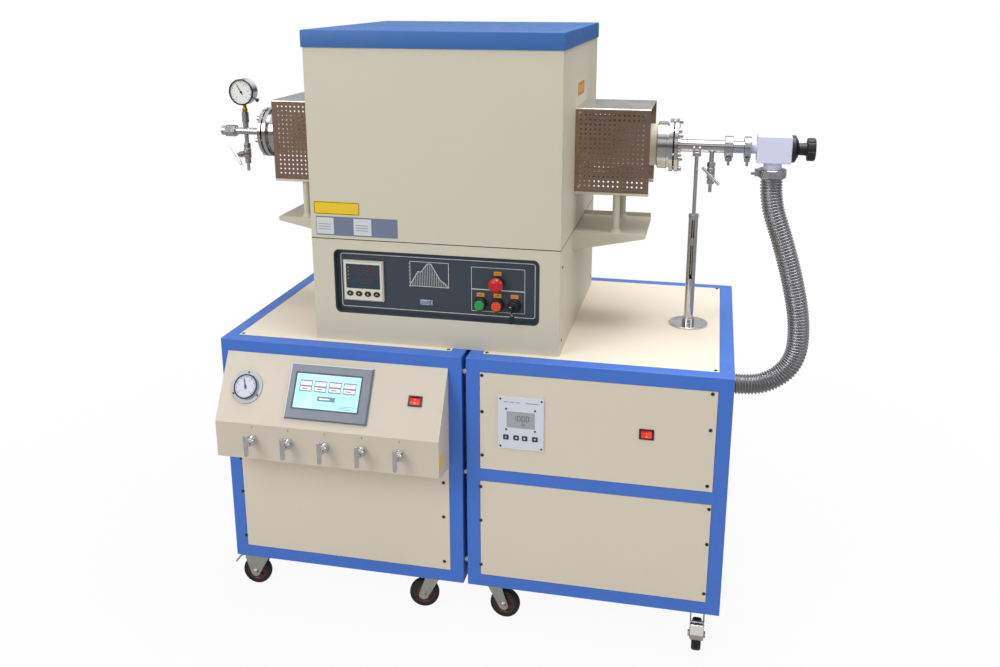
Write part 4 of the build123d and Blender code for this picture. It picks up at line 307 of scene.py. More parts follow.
M = {
    "blue paint": painted("Blue powder coat", rgb(62, 114, 206), 0.36, 0.48, wear=0.45, shade=0.92),
    "cover paint": painted("Steel blue cover coat", rgb(38, 96, 164), 0.40, 0.52, wear=0.45, shade=0.92),
    # Its top colour is painted light: upward faces drawn lighter as if lit from above.
    "beige paint": painted("Beige powder coat with painted top light", rgb(218, 207, 188), 0.42, 0.56, wear=0.0, shade=0.95,
                           top=rgb(236, 226, 208)),
    "console paint": painted("Beige console coat", rgb(206, 196, 180), 0.42, 0.56, wear=0.25, shade=0.95),
    "furnace paint": painted("Warm grey furnace coat", rgb(206, 200, 180), 0.42, 0.56, wear=0.30,
                             shade=0.95),
    "slate": painted("Slate control plate", rgb(56, 65, 76), 0.42, 0.54, wear=0.0, shade=0.88, bump=0.04),
    "guard sheet": metal("Perforated guard sheet", rgb(176, 149, 130), (5.0, 420.0, 420.0), 0.26, 0.42,
                         wear=0.0),
    # Same steel as the guard's walls; the lighter grey is painted light on the roof and bends.
    "guard roof": metal("Guard roof sheet with painted top light", rgb(212, 212, 212), (420.0, 5.0, 420.0), 0.26, 0.38, wear=0.0,
                        shade=0.88, bump=0.03),
    "turned steel": metal("Turned stainless", rgb(206, 204, 204), (420.0, 6.0, 6.0), 0.12, 0.28),
    "upright steel": metal("Drawn stainless rod", rgb(208, 208, 210), (420.0, 420.0, 5.0), 0.10, 0.24),
    "cast clamp": metal("Cast clamp alloy", rgb(198, 198, 202), (60.0, 60.0, 60.0), 0.20, 0.42, bump=0.14),
    "bellows steel": metal("Bellows stainless", rgb(176, 176, 180), (40.0, 40.0, 40.0), 0.30, 0.38,
                           wear=0.0, shade=0.88, bump=0.0),
    "valve metal": painted("Anodised valve alloy", rgb(214, 216, 238), 0.40, 0.52, wear=0.2, shade=0.95),
    "chrome": metal("Bright chrome", rgb(226, 227, 230), (60.0, 60.0, 60.0), 0.06, 0.18, shade=0.85,
                    bump=0.03),
    "brass": metal("Lacquered brass", rgb(214, 172, 84), (60.0, 60.0, 60.0), 0.16, 0.32),
    "zinc": metal("Zinc plated pressing", rgb(206, 204, 196), (80.0, 80.0, 80.0), 0.24, 0.44, shade=0.8,
                  bump=0.12),
    "dark screw": metal("Blackened screw", rgb(84, 80, 76), (200.0, 200.0, 200.0), 0.28, 0.46, wear=0.0),
    "black plastic": painted("Black moulded plastic", rgb(30, 30, 32), 0.34, 0.48, wear=0.12, shade=0.75,
                             peel=1500.0),
    "cream plastic": painted("Cream moulded plastic", rgb(222, 217, 200), 0.34, 0.46, wear=0.0, shade=0.95,
                             peel=1500.0),
    "grey plastic": painted("Blue-grey screen bezel", rgb(104, 114, 128), 0.28, 0.40, wear=0.15, shade=0.9,
                            peel=1500.0),
    "red plastic": painted("Red mushroom head", rgb(192, 18, 14), 0.22, 0.34, wear=0.0, shade=0.8,
                           peel=1500.0, coat=0.3),
    "orange plastic": painted("Red-orange button cap", rgb(226, 66, 30), 0.22, 0.34, wear=0.0, shade=0.85,
                              coat=0.4),
    "green plastic": painted("Green button cap", rgb(34, 150, 70), 0.22, 0.34, wear=0.0, shade=0.85,
                             coat=0.4),
    "yellow label": painted("Yellow label film", rgb(232, 196, 40), 0.28, 0.38, wear=0.0, shade=0.95),
    "amber label": painted("Amber label film", rgb(228, 150, 40), 0.28, 0.38, wear=0.0, shade=0.93),
    "gold label": painted("Golden label film", rgb(212, 150, 32), 0.28, 0.38, wear=0.0, shade=0.93),
    "gauge flange": painted("Pale grey gauge flange", rgb(176, 181, 190), 0.30, 0.42, wear=0.2, shade=0.93),
    "dial blue": painted("Pale blue enamel dial", rgb(196, 202, 216), 0.36, 0.46, wear=0.0, shade=0.96),
    "grey label": painted("Grey-blue label film", rgb(112, 122, 146), 0.30, 0.40, wear=0.0, shade=0.93),
    "unit plastic": painted("Pale grey instrument face", rgb(212, 216, 226), 0.36, 0.48, wear=0.0,
                            shade=0.96, peel=1500.0),
    "pale label": painted("Pale label film", rgb(206, 210, 214), 0.30, 0.40, wear=0.0, shade=0.95),
    "white ink": painted("White panel ink", rgb(226, 228, 228), 0.45, 0.55, wear=0.0, shade=0.93),
    "dark ink": painted("Dark panel ink", rgb(38, 42, 60), 0.45, 0.55, wear=0.0, shade=0.85),
    "dial white": painted("White enamel dial", rgb(238, 238, 236), 0.25, 0.34, wear=0.0, shade=0.96,
                          coat=0.5),
    "tyre": painted("Black rubber tyre", rgb(34, 34, 36), 0.55, 0.75, wear=0.0, shade=0.7, peel=500.0,
                    bump=0.3),
    "hub": painted("Dark brown wheel hub", rgb(84, 50, 44), 0.34, 0.48, wear=0.0, shade=0.8),
    "ceramic": painted("Fired ceramic", rgb(228, 220, 196), 0.45, 0.62, wear=0.0, shade=0.92, peel=300.0,
                       bump=0.15),
    "fibre": painted("Pressed ceramic fibre", rgb(236, 234, 226), 0.8, 0.95, wear=0.0, shade=0.9,
                     peel=220.0, bump=0.5),
    "element": painted("Dark heating element", rgb(70, 66, 66), 0.5, 0.7, wear=0.0, shade=0.8),
    "pump paint": painted("Pump enamel", rgb(64, 78, 98), 0.34, 0.46, wear=0.3, shade=0.85),
    "seal": painted("Dark red seal ring", rgb(84, 40, 32), 0.5, 0.65, wear=0.0, shade=0.8),
    "blue insert": painted("Pale blue socket insert", rgb(128, 152, 190), 0.3, 0.4, wear=0.0, shade=0.85),
    "teal display": painted("Dark teal display", rgb(24, 54, 68), 0.12, 0.2, wear=0.0, shade=0.8, bump=0.0,
                            coat=0.8),
    "red digits": glowing("Dull red digits", rgb(120, 44, 40), rgb(98, 38, 38), 0.06),
    "lit red": glowing("Lit red rocker", rgb(232, 52, 34), rgb(200, 30, 24), 0.55, 60.0),
    "screen blue": glowing("Cyan screen", rgb(138, 222, 232), rgb(176, 236, 240), 0.26, 14.0),
    "screen dark": glowing("Screen panels", rgb(76, 84, 128), rgb(92, 98, 142), 0.10, 40.0),
    "screen white": glowing("Screen white", rgb(236, 240, 240), rgb(222, 228, 230), 0.18, 40.0),
    "unit display": painted("Grey display", rgb(160, 167, 170), 0.12, 0.2, wear=0.0, shade=0.92, bump=0.0,
                            coat=0.8),
}


# ---------------------------------------------------------------- solid shapes, in millimetres

def mark_new(bm, before, slot):
    bm.faces.ensure_lookup_table()
    for face in bm.faces[before:]:
        face.material_index = slot


def add_block(bm, at, x, y, z, slot=0, bevel=0.0):
    """Block between two x, two y and two z values of the matrix, with its edges broken."""
    before = len(bm.faces)
    size = Matrix.Diagonal((x[1] - x[0], y[1] - y[0], z[1] - z[0], 1.0))
    middle = Matrix.Translation(((x[0] + x[1]) / 2, (y[0] + y[1]) / 2, (z[0] + z[1]) / 2))
    made = bmesh.ops.create_cube(bm, size=1.0, matrix=at @ middle @ size)
    if bevel:
        edges = list({edge for vert in made["verts"] for edge in vert.link_edges})
        bmesh.ops.bevel(bm, geom=edges, offset=bevel, segments=2, profile=0.5, affect="EDGES")
    mark_new(bm, before, slot)


def add_lathe(bm, at, profile, slot=0, segments=32, closed=False, turn=0.0):
    """Turn (height, radius) pairs about the matrix's Z. A radius of 0 closes an end."""
    before = len(bm.faces)
    rings = []
    for height, radius in profile:
        if radius < 1e-6:
            rings.append([bm.verts.new(at @ Vector((0, 0, height)))])
            continue
        ring = []
        for i in range(segments):
            angle = turn + 2 * math.pi * i / segments
            ring.append(bm.verts.new(at @ Vector((radius * math.cos(angle), radius * math.sin(angle),
                                                  height))))
        rings.append(ring)
    pairs = list(zip(rings, rings[1:]))
    if closed:
        pairs.append((rings[-1], rings[0]))
    for low, high in pairs:
        for i in range(segments):
            j = (i + 1) % segments
            corners = [low[i % len(low)], low[j % len(low)], high[j % len(high)], high[i % len(high)]]
            unique = list(dict.fromkeys(corners))
            if len(unique) > 2:
                bm.faces.new(unique)
    mark_new(bm, before, slot)


def add_prism(bm, at, outline, low, high, slot=0):
    """Flat outline given a thickness between two heights."""
    before = len(bm.faces)
    bottom = [bm.verts.new(at @ Vector((x, y, low))) for x, y in outline]
    top = [bm.verts.new(at @ Vector((x, y, high))) for x, y in outline]
    bm.faces.new(bottom[::-1])
    bm.faces.new(top)
    count = len(outline)
    for i in range(count):
        j = (i + 1) % count
        bm.faces.new((bottom[i], bottom[j], top[j], top[i]))
    mark_new(bm, before, slot)


def rounded(width, height, radius, steps=5):
    """Outline of a rounded rectangle about the origin."""
    points = []
    for cx, cy, start in ((1, 1, 0), (-1, 1, 90), (-1, -1, 180), (1, -1, 270)):
        for i in range(steps + 1):
            angle = math.radians(start + 90 * i / steps)
            points.append((cx * (width / 2 - radius) + radius * math.cos(angle),
                           cy * (height / 2 - radius) + radius * math.sin(angle)))
    return points


def add_loop(bm, at, outer, inner, low, high, slot=0):
    """Ring between two outlines that have the same number of points."""
    before = len(bm.faces)
    layers = [[bm.verts.new(at @ Vector((x, y, z))) for x, y in outline]
              for outline, z in ((outer, low), (outer, high), (inner, high), (inner, low))]
    count = len(outer)
    for a, b in zip(layers, layers[1:] + layers[:1]):
        for i in range(count):
            j = (i + 1) % count
            bm.faces.new((a[i], a[j], b[j], b[i]))
    mark_new(bm, before, slot)


def add_outline(bm, at, width, height, radius, line, slot=0, low=0.0, high=0.25):
    """Printed line round a rounded rectangle."""
    add_loop(bm, at, rounded(width, height, radius),
             rounded(width - 2 * line, height - 2 * line, max(radius - line, 0.3)),
             low, high, slot)


def add_stroke(bm, at, start, end, line, slot=0, low=0.0, high=0.25):
    """Printed straight line between two points of the surface."""
    a, b = Vector(start), Vector(end)
    side = (b - a).normalized().orthogonal() * line / 2
    add_prism(bm, at, [tuple(a + side), tuple(a - side), tuple(b - side), tuple(b + side)], low, high, slot)


def add_text(bm, at, words, size, slot=0, depth=0.15):
    """Plain figures or ON and OFF, as thin solid letters."""
    curve = bpy.data.curves.new("figures", "FONT")
    curve.body, curve.size, curve.extrude, curve.resolution_u = words, size, depth, 3
    curve.align_x, curve.align_y = "CENTER", "CENTER"
    holder = bpy.data.objects.new("figures", curve)
    bpy.context.scene.collection.objects.link(holder)
    mesh = bpy.data.meshes.new_from_object(holder.evaluated_get(bpy.context.evaluated_depsgraph_get()))
    mesh.transform(at @ Matrix.Translation((0, 0, depth)))
    before = len(bm.faces)
    bm.from_mesh(mesh)
    mark_new(bm, before, slot)
    bpy.data.objects.remove(holder)
    bpy.data.curves.remove(curve)
    bpy.data.meshes.remove(mesh)


SEGMENTS = {"0": "abcdef", "1": "bc", "2": "abged", "3": "abgcd", "4": "fgbc", "5": "afgcd", "6": "afgedc",
            "7": "abc",
            "8": "abcdefg", "9": "abcdfg", "-": "g"}
STROKES = {"a": ((0, 2), (1, 2)), "b": ((1, 2), (1, 1)), "c": ((1, 1), (1, 0)), "d": ((0, 0), (1, 0)),
           "e": ((0, 1), (0, 0)), "f": ((0, 2), (0, 1)), "g": ((0, 1), (1, 1))}


def add_digits(bm, at, figures, height, slot=0, low=0.0, high=0.2):
    """Seven-segment figures, centred on the matrix."""
    unit = height / 2
    pitch = unit * 1.65
    for index, figure in enumerate(figures):
        shift = Vector(((index - (len(figures) - 1) / 2) * pitch - unit / 2, -unit))
        for name in SEGMENTS.get(figure, ""):
            a, b = (Vector(end) * unit + shift for end in STROKES[name])
            trim = (b - a).normalized() * unit * 0.09
            add_stroke(bm, at, a + trim, b - trim, height * 0.11, slot, low, high)


def finish_piece(name, bm, materials, body=STATION, replaces=(), smooth=32.0, weld=True):
    """Turn the shapes into one object of the row frame that rides on a body."""
    if weld:
        bmesh.ops.remove_doubles(bm, verts=bm.verts, dist=0.002)
    bmesh.ops.recalc_face_normals(bm, faces=bm.faces)
    for face in bm.faces:
        face.smooth = True
    for edge in bm.edges:
        edge.smooth = len(edge.link_faces) == 2 and edge.calc_face_angle(0.0) < math.radians(smooth)
    bm.transform(ROW)
    mesh = bpy.data.meshes.new(name)
    bm.to_mesh(mesh)
    bm.free()
    return finish_mesh(name, mesh, materials, body, replaces)


def finish_mesh(name, mesh, materials, body=STATION, replaces=()):
    """Object of a finished mesh, its place in its mesh, riding on a body."""
    if not len(mesh.materials):
        for material in materials:
            mesh.materials.append(M[material])
    piece = bpy.data.objects.new(name, mesh)
    bpy.context.scene.collection.objects.link(piece)
    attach(piece, body)
    if replaces:
        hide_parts(*replaces)
    return piece


# ---------------------------------------------------------------- camera, light and floor

def set_view():
    """Camera in front of the vacuum cabinet, looking left and down over the whole station."""
    camera = bpy.data.cameras.new("camera")
    camera.sensor_width = 36.0
    camera.lens = 35.24
    camera.shift_y = -0.0835
    camera.clip_end = 60.0
    holder = bpy.data.objects.new("camera", camera)
    holder.location = ROW @ Vector((528.3, -2030.2, 1518.5))
    holder.rotation_euler = (math.radians(90 - 15.07), 0.0, math.radians(12.3))
    bpy.context.scene.collection.objects.link(holder)
    bpy.context.scene.camera = holder


def add_lamp(name, place, target, size, power):
    lamp = bpy.data.lights.new(name, "AREA")
    lamp.shape, lamp.size, lamp.energy = "DISK", size, power
    holder = bpy.data.objects.new(name, lamp)
    holder.location = place
    holder.rotation_euler = (Vector(target) - Vector(place)).to_track_quat("-Z", "Y").to_euler()
    bpy.context.scene.collection.objects.link(holder)


def seen_rays(tree):
    """1 for rays that show the background: straight, mirrored or through glass."""
    path = put(tree, "ShaderNodeLightPath")
    first = put(tree, "ShaderNodeMath", {0: path.outputs["Is Camera Ray"],
                                         1: path.outputs["Is Glossy Ray"]},
                operation="MAXIMUM")
    return put(tree, "ShaderNodeMath", {0: first.outputs[0], 1: path.outputs["Is Transmission Ray"]},
               operation="MAXIMUM").outputs[0]


def between(tree, fac, a, b):
    """Plain number from a to b as fac goes from 0 to 1."""
    made = put(tree, "ShaderNodeMix", {0: fac, 2: a, 3: b}, data_type="FLOAT")
    return made.outputs[0]


def set_light():
    """White studio: soft key from the left front, weaker fill from the right, strong top light.

    Metal mirrors a surround that is bright overhead, dark along the walls, with one dark band up high.
    """
    world = bpy.data.worlds.new("white surround")
    bpy.context.scene.world = world
    world.use_nodes = True
    tree = world.node_tree
    tree.nodes.clear()
    way = put(tree, "ShaderNodeSeparateXYZ", {0: put(tree, "ShaderNodeTexCoord").outputs["Generated"]})
    walls = scaled_range(tree, way.outputs["Z"], 0.12, 0.42, 0.12, 0.95)
    sides = scaled_range(tree, way.outputs["X"], -0.75, 0.75, 1.12, 0.80)
    off_band = put(tree, "ShaderNodeMath", {0: way.outputs["Z"], 1: 0.66, 2: 0.0},
                   operation="SUBTRACT").outputs[0]
    off_band = put(tree, "ShaderNodeMath", {0: off_band}, operation="ABSOLUTE").outputs[0]
    band = scaled_range(tree, off_band, 0.04, 0.11, 0.22, 1.0)
    mirrored = put(tree, "ShaderNodeMath", {0: walls, 1: sides}, operation="MULTIPLY").outputs[0]
    mirrored = put(tree, "ShaderNodeMath", {0: mirrored, 1: band}, operation="MULTIPLY").outputs[0]
    glossy = put(tree, "ShaderNodeLightPath").outputs["Is Glossy Ray"]
    strength = between(tree, glossy, between(tree, seen_rays(tree), 0.50, 1.0), mirrored)
    white = put(tree, "ShaderNodeBackground", {"Color": (1, 1, 1, 1), "Strength": strength})
    out = put(tree, "ShaderNodeOutputWorld")
    tree.links.new(white.outputs[0], out.inputs["Surface"])
    add_lamp("key", (-2.2, -3.2, 3.0), (0, 0, 0.8), 2.2, 68.0)
    add_lamp("fill", (3.4, -1.6, 2.2), (0.2, 0, 0.8), 2.0, 15.0)
    add_lamp("top", (0.5, 0.1, 3.8), (0.2, 0, 0.8), 2.4, 88.0)

    bm = bmesh.new()
    bmesh.ops.create_grid(bm, x_segments=1, y_segments=1, size=14.0)
    mesh = bpy.data.meshes.new("floor")
    bm.to_mesh(mesh)
    bm.free()
    floor = bpy.data.objects.new("floor", mesh)
    floor.location.z = -0.0005
    bpy.context.scene.collection.objects.link(floor)
    material = bpy.data.materials.new("Pale floor")
    material.use_nodes = True
    tree = material.node_tree
    tree.nodes.clear()
    matt = put(tree, "ShaderNodeBsdfDiffuse", {"Color": (0.72, 0.72, 0.72, 1)})
    glossy = put(tree, "ShaderNodeLightPath").outputs["Is Glossy Ray"]
    plain = put(tree, "ShaderNodeEmission", {"Color": (1, 1, 1, 1),
                                             "Strength": between(tree, glossy, 1.0, 0.42)})
    place = put(tree, "ShaderNodeTexCoord").outputs["Object"]
    away = put(tree, "ShaderNodeVectorMath", {0: place}, operation="LENGTH")
    plainness = scaled_range(tree, away.outputs["Value"], 0.9, 2.2, 0.94, 1.0)
    share = put(tree, "ShaderNodeMath", {0: seen_rays(tree), 1: plainness}, operation="MULTIPLY").outputs[0]
    both = put(tree, "ShaderNodeMixShader", {0: share, 1: matt.outputs[0], 2: plain.outputs[0]})
    out = put(tree, "ShaderNodeOutputMaterial")
    tree.links.new(both.outputs[0], out.inputs["Surface"])
    mesh.materials.append(material)


# ---------------------------------------------------------------- geometry node tools

def evaluated(holder, tree, values):
    """Run a geometry node tree on an object and return the plain mesh."""
    modifier = holder.modifiers.new("made", "NODES")
    modifier.node_group = tree
    for item in tree.interface.items_tree:
        if item.item_type == "SOCKET" and item.in_out == "INPUT" and item.name in values:
            modifier[item.identifier] = values[item.name]
    bpy.context.view_layer.update()
    mesh = bpy.data.meshes.new_from_object(holder.evaluated_get(bpy.context.evaluated_depsgraph_get()))
    holder.modifiers.clear()
    bpy.data.objects.remove(holder)
    return mesh


def spare_object(name, data):
    holder = bpy.data.objects.new(name, data)
    bpy.context.scene.collection.objects.link(holder)
    return holder


def make_field_tree():
    """Rows and columns of one cell, side by side, for perforated sheet."""
    tree, inward, outward = new_group(
        "Perforated sheet",
        [("Geometry", "NodeSocketGeometry", None), ("Columns", "NodeSocketInt", 10),
         ("Rows", "NodeSocketInt", 10),
         ("Pitch", "NodeSocketFloat", 10.0), ("Cell", "NodeSocketObject", None),
         ("Material", "NodeSocketMaterial", None)],
        [("Geometry", "NodeSocketGeometry")], "GeometryNodeTree")
    sizes = []
    for count in ("Columns", "Rows"):
        steps = put(tree, "ShaderNodeMath", {0: inward.outputs[count], 1: 1.0}, operation="SUBTRACT")
        sizes.append(put(tree, "ShaderNodeMath", {0: steps.outputs[0], 1: inward.outputs["Pitch"]},
                         operation="MULTIPLY"))
    grid = put(tree, "GeometryNodeMeshGrid", {"Size X": sizes[0].outputs[0], "Size Y": sizes[1].outputs[0],
                                              "Vertices X": inward.outputs["Columns"],
                                              "Vertices Y": inward.outputs["Rows"]})
    cell = put(tree, "GeometryNodeObjectInfo", {"Object": inward.outputs["Cell"]})
    placed = put(tree, "GeometryNodeInstanceOnPoints",
                 {"Points": grid.outputs["Mesh"], "Instance": cell.outputs["Geometry"]})
    real = put(tree, "GeometryNodeRealizeInstances", {"Geometry": placed.outputs[0]})
    welded = put(tree, "GeometryNodeMergeByDistance", {"Geometry": real.outputs[0], "Distance": 0.01})
    painted_mesh = put(tree, "GeometryNodeSetMaterial",
                       {"Geometry": welded.outputs[0], "Material": inward.outputs["Material"]})
    tree.links.new(painted_mesh.outputs[0], outward.inputs[0])
    return tree


def make_screw_tree():
    """One screw head on every point, turned to face the way that the point says."""
    tree, inward, outward = new_group(
        "Screw heads",
        [("Geometry", "NodeSocketGeometry", None), ("Head", "NodeSocketObject", None),
         ("Size", "NodeSocketFloat", 1.0),
         ("Material", "NodeSocketMaterial", None)],
        [("Geometry", "NodeSocketGeometry")], "GeometryNodeTree")
    out = put(tree, "GeometryNodeInputNamedAttribute", {"Name": "facing"}, data_type="FLOAT_VECTOR")
    turned = put(tree, "FunctionNodeAlignEulerToVector", {"Vector": out.outputs[0]}, axis="Z")
    head = put(tree, "GeometryNodeObjectInfo", {"Object": inward.outputs["Head"]})
    placed = put(tree, "GeometryNodeInstanceOnPoints",
                 {"Points": inward.outputs["Geometry"], "Instance": head.outputs["Geometry"],
                  "Rotation": turned.outputs[0],
                  "Scale": inward.outputs["Size"]})
    real = put(tree, "GeometryNodeRealizeInstances", {"Geometry": placed.outputs[0]})
    finished = put(tree, "GeometryNodeSetMaterial",
                   {"Geometry": real.outputs[0], "Material": inward.outputs["Material"]})
    tree.links.new(finished.outputs[0], outward.inputs[0])
    return tree


def make_bellows_tree():
    """Corrugated tube along a curve: ribs of a set pitch and depth."""
    tree, inward, outward = new_group(
        "Bellows",
        [("Geometry", "NodeSocketGeometry", None), ("Outer Radius", "NodeSocketFloat", 0.026),
         ("Rib Depth", "NodeSocketFloat", 0.004), ("Rib Pitch", "NodeSocketFloat", 0.007),
         ("Steps In Rib", "NodeSocketInt", 8), ("Sides", "NodeSocketInt", 32),
         ("Material", "NodeSocketMaterial", None)],
        [("Geometry", "NodeSocketGeometry")], "GeometryNodeTree")
    step = put(tree, "ShaderNodeMath", {0: inward.outputs["Rib Pitch"], 1: inward.outputs["Steps In Rib"]},
               operation="DIVIDE")
    fine = put(tree, "GeometryNodeResampleCurve", {"Curve": inward.outputs["Geometry"],
                                                   "Length": step.outputs[0]}, mode="LENGTH")
    along = put(tree, "GeometryNodeSplineParameter")
    turns = put(tree, "ShaderNodeMath", {0: along.outputs["Length"], 1: inward.outputs["Rib Pitch"]},
                operation="DIVIDE")
    angle = put(tree, "ShaderNodeMath", {0: turns.outputs[0], 1: 2 * math.pi}, operation="MULTIPLY")
    wave = put(tree, "ShaderNodeMath", {0: angle.outputs[0]}, operation="COSINE")
    fall = put(tree, "ShaderNodeMapRange", {"Value": wave.outputs[0], 1: -1.0, 2: 1.0, 3: 0.0,
                                            4: inward.outputs["Rib Depth"]})
    radius = put(tree, "ShaderNodeMath", {0: inward.outputs["Outer Radius"], 1: fall.outputs[0]},
                 operation="SUBTRACT")
    circle = put(tree, "GeometryNodeCurvePrimitiveCircle",
                 {"Resolution": inward.outputs["Sides"], "Radius": 1.0})
    sized = put(tree, "GeometryNodeSetCurveRadius", {"Curve": fine.outputs[0], "Radius": radius.outputs[0]})
    tube = put(tree, "GeometryNodeCurveToMesh", {"Curve": sized.outputs[0],
                                                 "Profile Curve": circle.outputs[0], "Fill Caps": True})
    if "Scale" in tube.inputs:
        tree.links.new(radius.outputs[0], tube.inputs["Scale"])
    soft = put(tree, "GeometryNodeSetShadeSmooth", {"Geometry": tube.outputs[0]})
    finished = put(tree, "GeometryNodeSetMaterial",
                   {"Geometry": soft.outputs[0], "Material": inward.outputs["Material"]})
    tree.links.new(finished.outputs[0], outward.inputs[0])
    return tree


FIELD = make_field_tree()
SCREWS = make_screw_tree()
BELLOWS = make_bellows_tree()


def perforated(columns, rows, pitch, hole, thickness, material):
    """Mesh of perforated sheet about the origin, its face on z = 0, as thick as said, below it."""
    bm = bmesh.new()
    half, radius = pitch / 2, hole / 2
    outer = [(half, 0), (half, half), (0, half), (-half, half), (-half, 0), (-half, -half), (0, -half),
             (half, -half)]
    inner = [(radius * math.cos(math.pi * i / 4), radius * math.sin(math.pi * i / 4)) for i in range(8)]
    layers = [[bm.verts.new((x, y, z)) for x, y in outline]
              for outline, z in ((outer, 0.0), (inner, 0.0), (inner, -thickness), (outer, -thickness))]
    for a, b in zip(layers, layers[1:]):
        for i in range(8):
            j = (i + 1) % 8
            bm.faces.new((a[i], a[j], b[j], b[i]))
    cell = bpy.data.meshes.new("cell")
    bm.to_mesh(cell)
    bm.free()
    cell_holder = spare_object("cell", cell)
    mesh = evaluated(spare_object("sheet", bpy.data.meshes.new("sheet")), FIELD,
                     {"Columns": columns, "Rows": rows, "Pitch": pitch, "Cell": cell_holder,
                      "Material": M[material]})
    bpy.data.objects.remove(cell_holder)
    return mesh


def add_field(bm, at, columns, rows, pitch, hole, thickness, material, slot=0):
    before = len(bm.faces)
    mesh = perforated(columns, rows, pitch, hole, thickness, material)
    mesh.transform(at)
    bm.from_mesh(mesh)
    mark_new(bm, before, slot)


def screw_field(name, places, size, material="dark screw"):
    """Screw heads at matrices that face out of the surface."""
    bm = bmesh.new()
    profile = [(-0.5, 0), (-0.5, 4.2), (0.7, 4.2), (1.5, 3.2), (1.7, 2.0), (0.7, 1.8), (0.7, 0)]
    add_lathe(bm, Matrix.Identity(4), profile, segments=12)
    bmesh.ops.recalc_face_normals(bm, faces=bm.faces)
    head = bpy.data.meshes.new("head")
    bm.to_mesh(head)
    bm.free()
    head_holder = spare_object("head", head)
    points = bpy.data.meshes.new("points")
    points.from_pydata([tuple(place.translation) for place in places], [], [])
    ways = points.attributes.new("facing", "FLOAT_VECTOR", "POINT")
    for item, place in zip(ways.data, places):
        item.vector = place.col[2].to_3d()
    mesh = evaluated(spare_object("points", points), SCREWS,
                     {"Head": head_holder, "Size": size, "Material": M[material]})
    bpy.data.objects.remove(head_holder)
    mesh.transform(ROW)
    return finish_mesh(name, mesh, [material], STATION)


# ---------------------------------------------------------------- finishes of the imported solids

NODE_FINISH = {
    "blue paint": ["gas_cabinet_frame", "vacuum_cabinet_frame"],
    "beige paint": ["gas_cabinet_panels", "vacuum_cabinet_panels"],
    "console paint": ["gas_console"],
    "furnace paint": ["furnace_base", "furnace_body", "guard_trays"],
    "slate": ["control_panel"],
    "fibre": ["furnace_insulation"],
    "ceramic": ["work_tube"],
    "element": ["heating_elements"],
    "turned steel": ["tube_flanges", "vacuum_line", "gas_inlet_line", "gas_mixing_tank"],
    "upright steel": ["stand_tube", "support_rod"],
    "cast clamp": ["kf_fittings"],
    "valve metal": ["angle_valve_body"],
    "zinc": ["caster_brackets", "gas_left_caster_fork", "gas_right_caster_fork", "vacuum_left_caster_fork",
             "vacuum_right_caster_fork", "gas_left_brake_pedal", "vacuum_right_brake_pedal"],
    "chrome": ["gas_valve_bodies", "inlet_valve_handle",
               "vent_valve_handle"] + [f"gas_valve_handle_{i}" for i in range(1, 6)],
    "black plastic": ["panel_fittings", "key_switch", "angle_valve_knob"],
    "cream plastic": ["temperature_controller"],
    "unit plastic": ["vacuum_gauge_unit"],
    "grey plastic": ["touch_screen"],
    "red plastic": ["emergency_stop"],
    "orange plastic": ["stop_button"],
    "green plastic": ["start_button"],
    "lit red": ["gas_power_rocker", "vacuum_power_rocker"],
    "pump paint": ["vacuum_pump"],
}


def finish_nodes():
    for finish, names in NODE_FINISH.items():
        for name in names:
            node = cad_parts[name]
            if not node.material_slots:
                node.data.materials.append(M[finish])
            for holder in node.material_slots:
                holder.material = M[finish]


# ---------------------------------------------------------------- furnace cover and tube guards

COVER = {"x": (-380.0, 216.0), "y": (47.0, 643.0), "z": (1388.0, 1426.0)}


def make_cover():
    """Blue cover: folded sides, and a roof that is one field of fine holes inside a plain rim."""
    x, y, z = COVER["x"], COVER["y"], COVER["z"]
    bm = bmesh.new()
    pitch, hole, count, sheet = 9.5, 4.6, 58, 2.0
    field = pitch * count / 2
    mid_x, mid_y = sum(x) / 2, sum(y) / 2
    width, depth = x[1] - x[0], y[1] - y[0]
    at = level(mid_x, mid_y, 0)
    edge = [(3.0, z[1]), (1.6, z[1] - 0.25), (0.6, z[1] - 1.0), (0.0, z[1] - 2.4), (0.0, z[0])]
    layers = []
    inner_outline = [(-field, -field), (field, -field), (field, field), (-field, field)]
    for inset, height in [(None, z[1])] + edge + [(sheet, z[0]), (sheet, z[1] - sheet),
                                                  (None, z[1] - sheet)]:
        if inset is None:
            corners = inner_outline
        else:
            w, d = width / 2 - inset, depth / 2 - inset
            corners = [(-w, -d), (w, -d), (w, d), (-w, d)]
        layers.append([bm.verts.new(at @ Vector((cx, cy, height))) for cx, cy in corners])
    for a, b in zip(layers, layers[1:]):
        for i in range(4):
            j = (i + 1) % 4
            bm.faces.new((a[i], a[j], b[j], b[i]))
    add_field(bm, level(mid_x, mid_y, z[1]), count, count, pitch, hole, sheet, "cover paint")
    finish_piece("furnace_cover", bm, ["cover paint"], replaces=["furnace_top_cover"],
                 smooth=40)


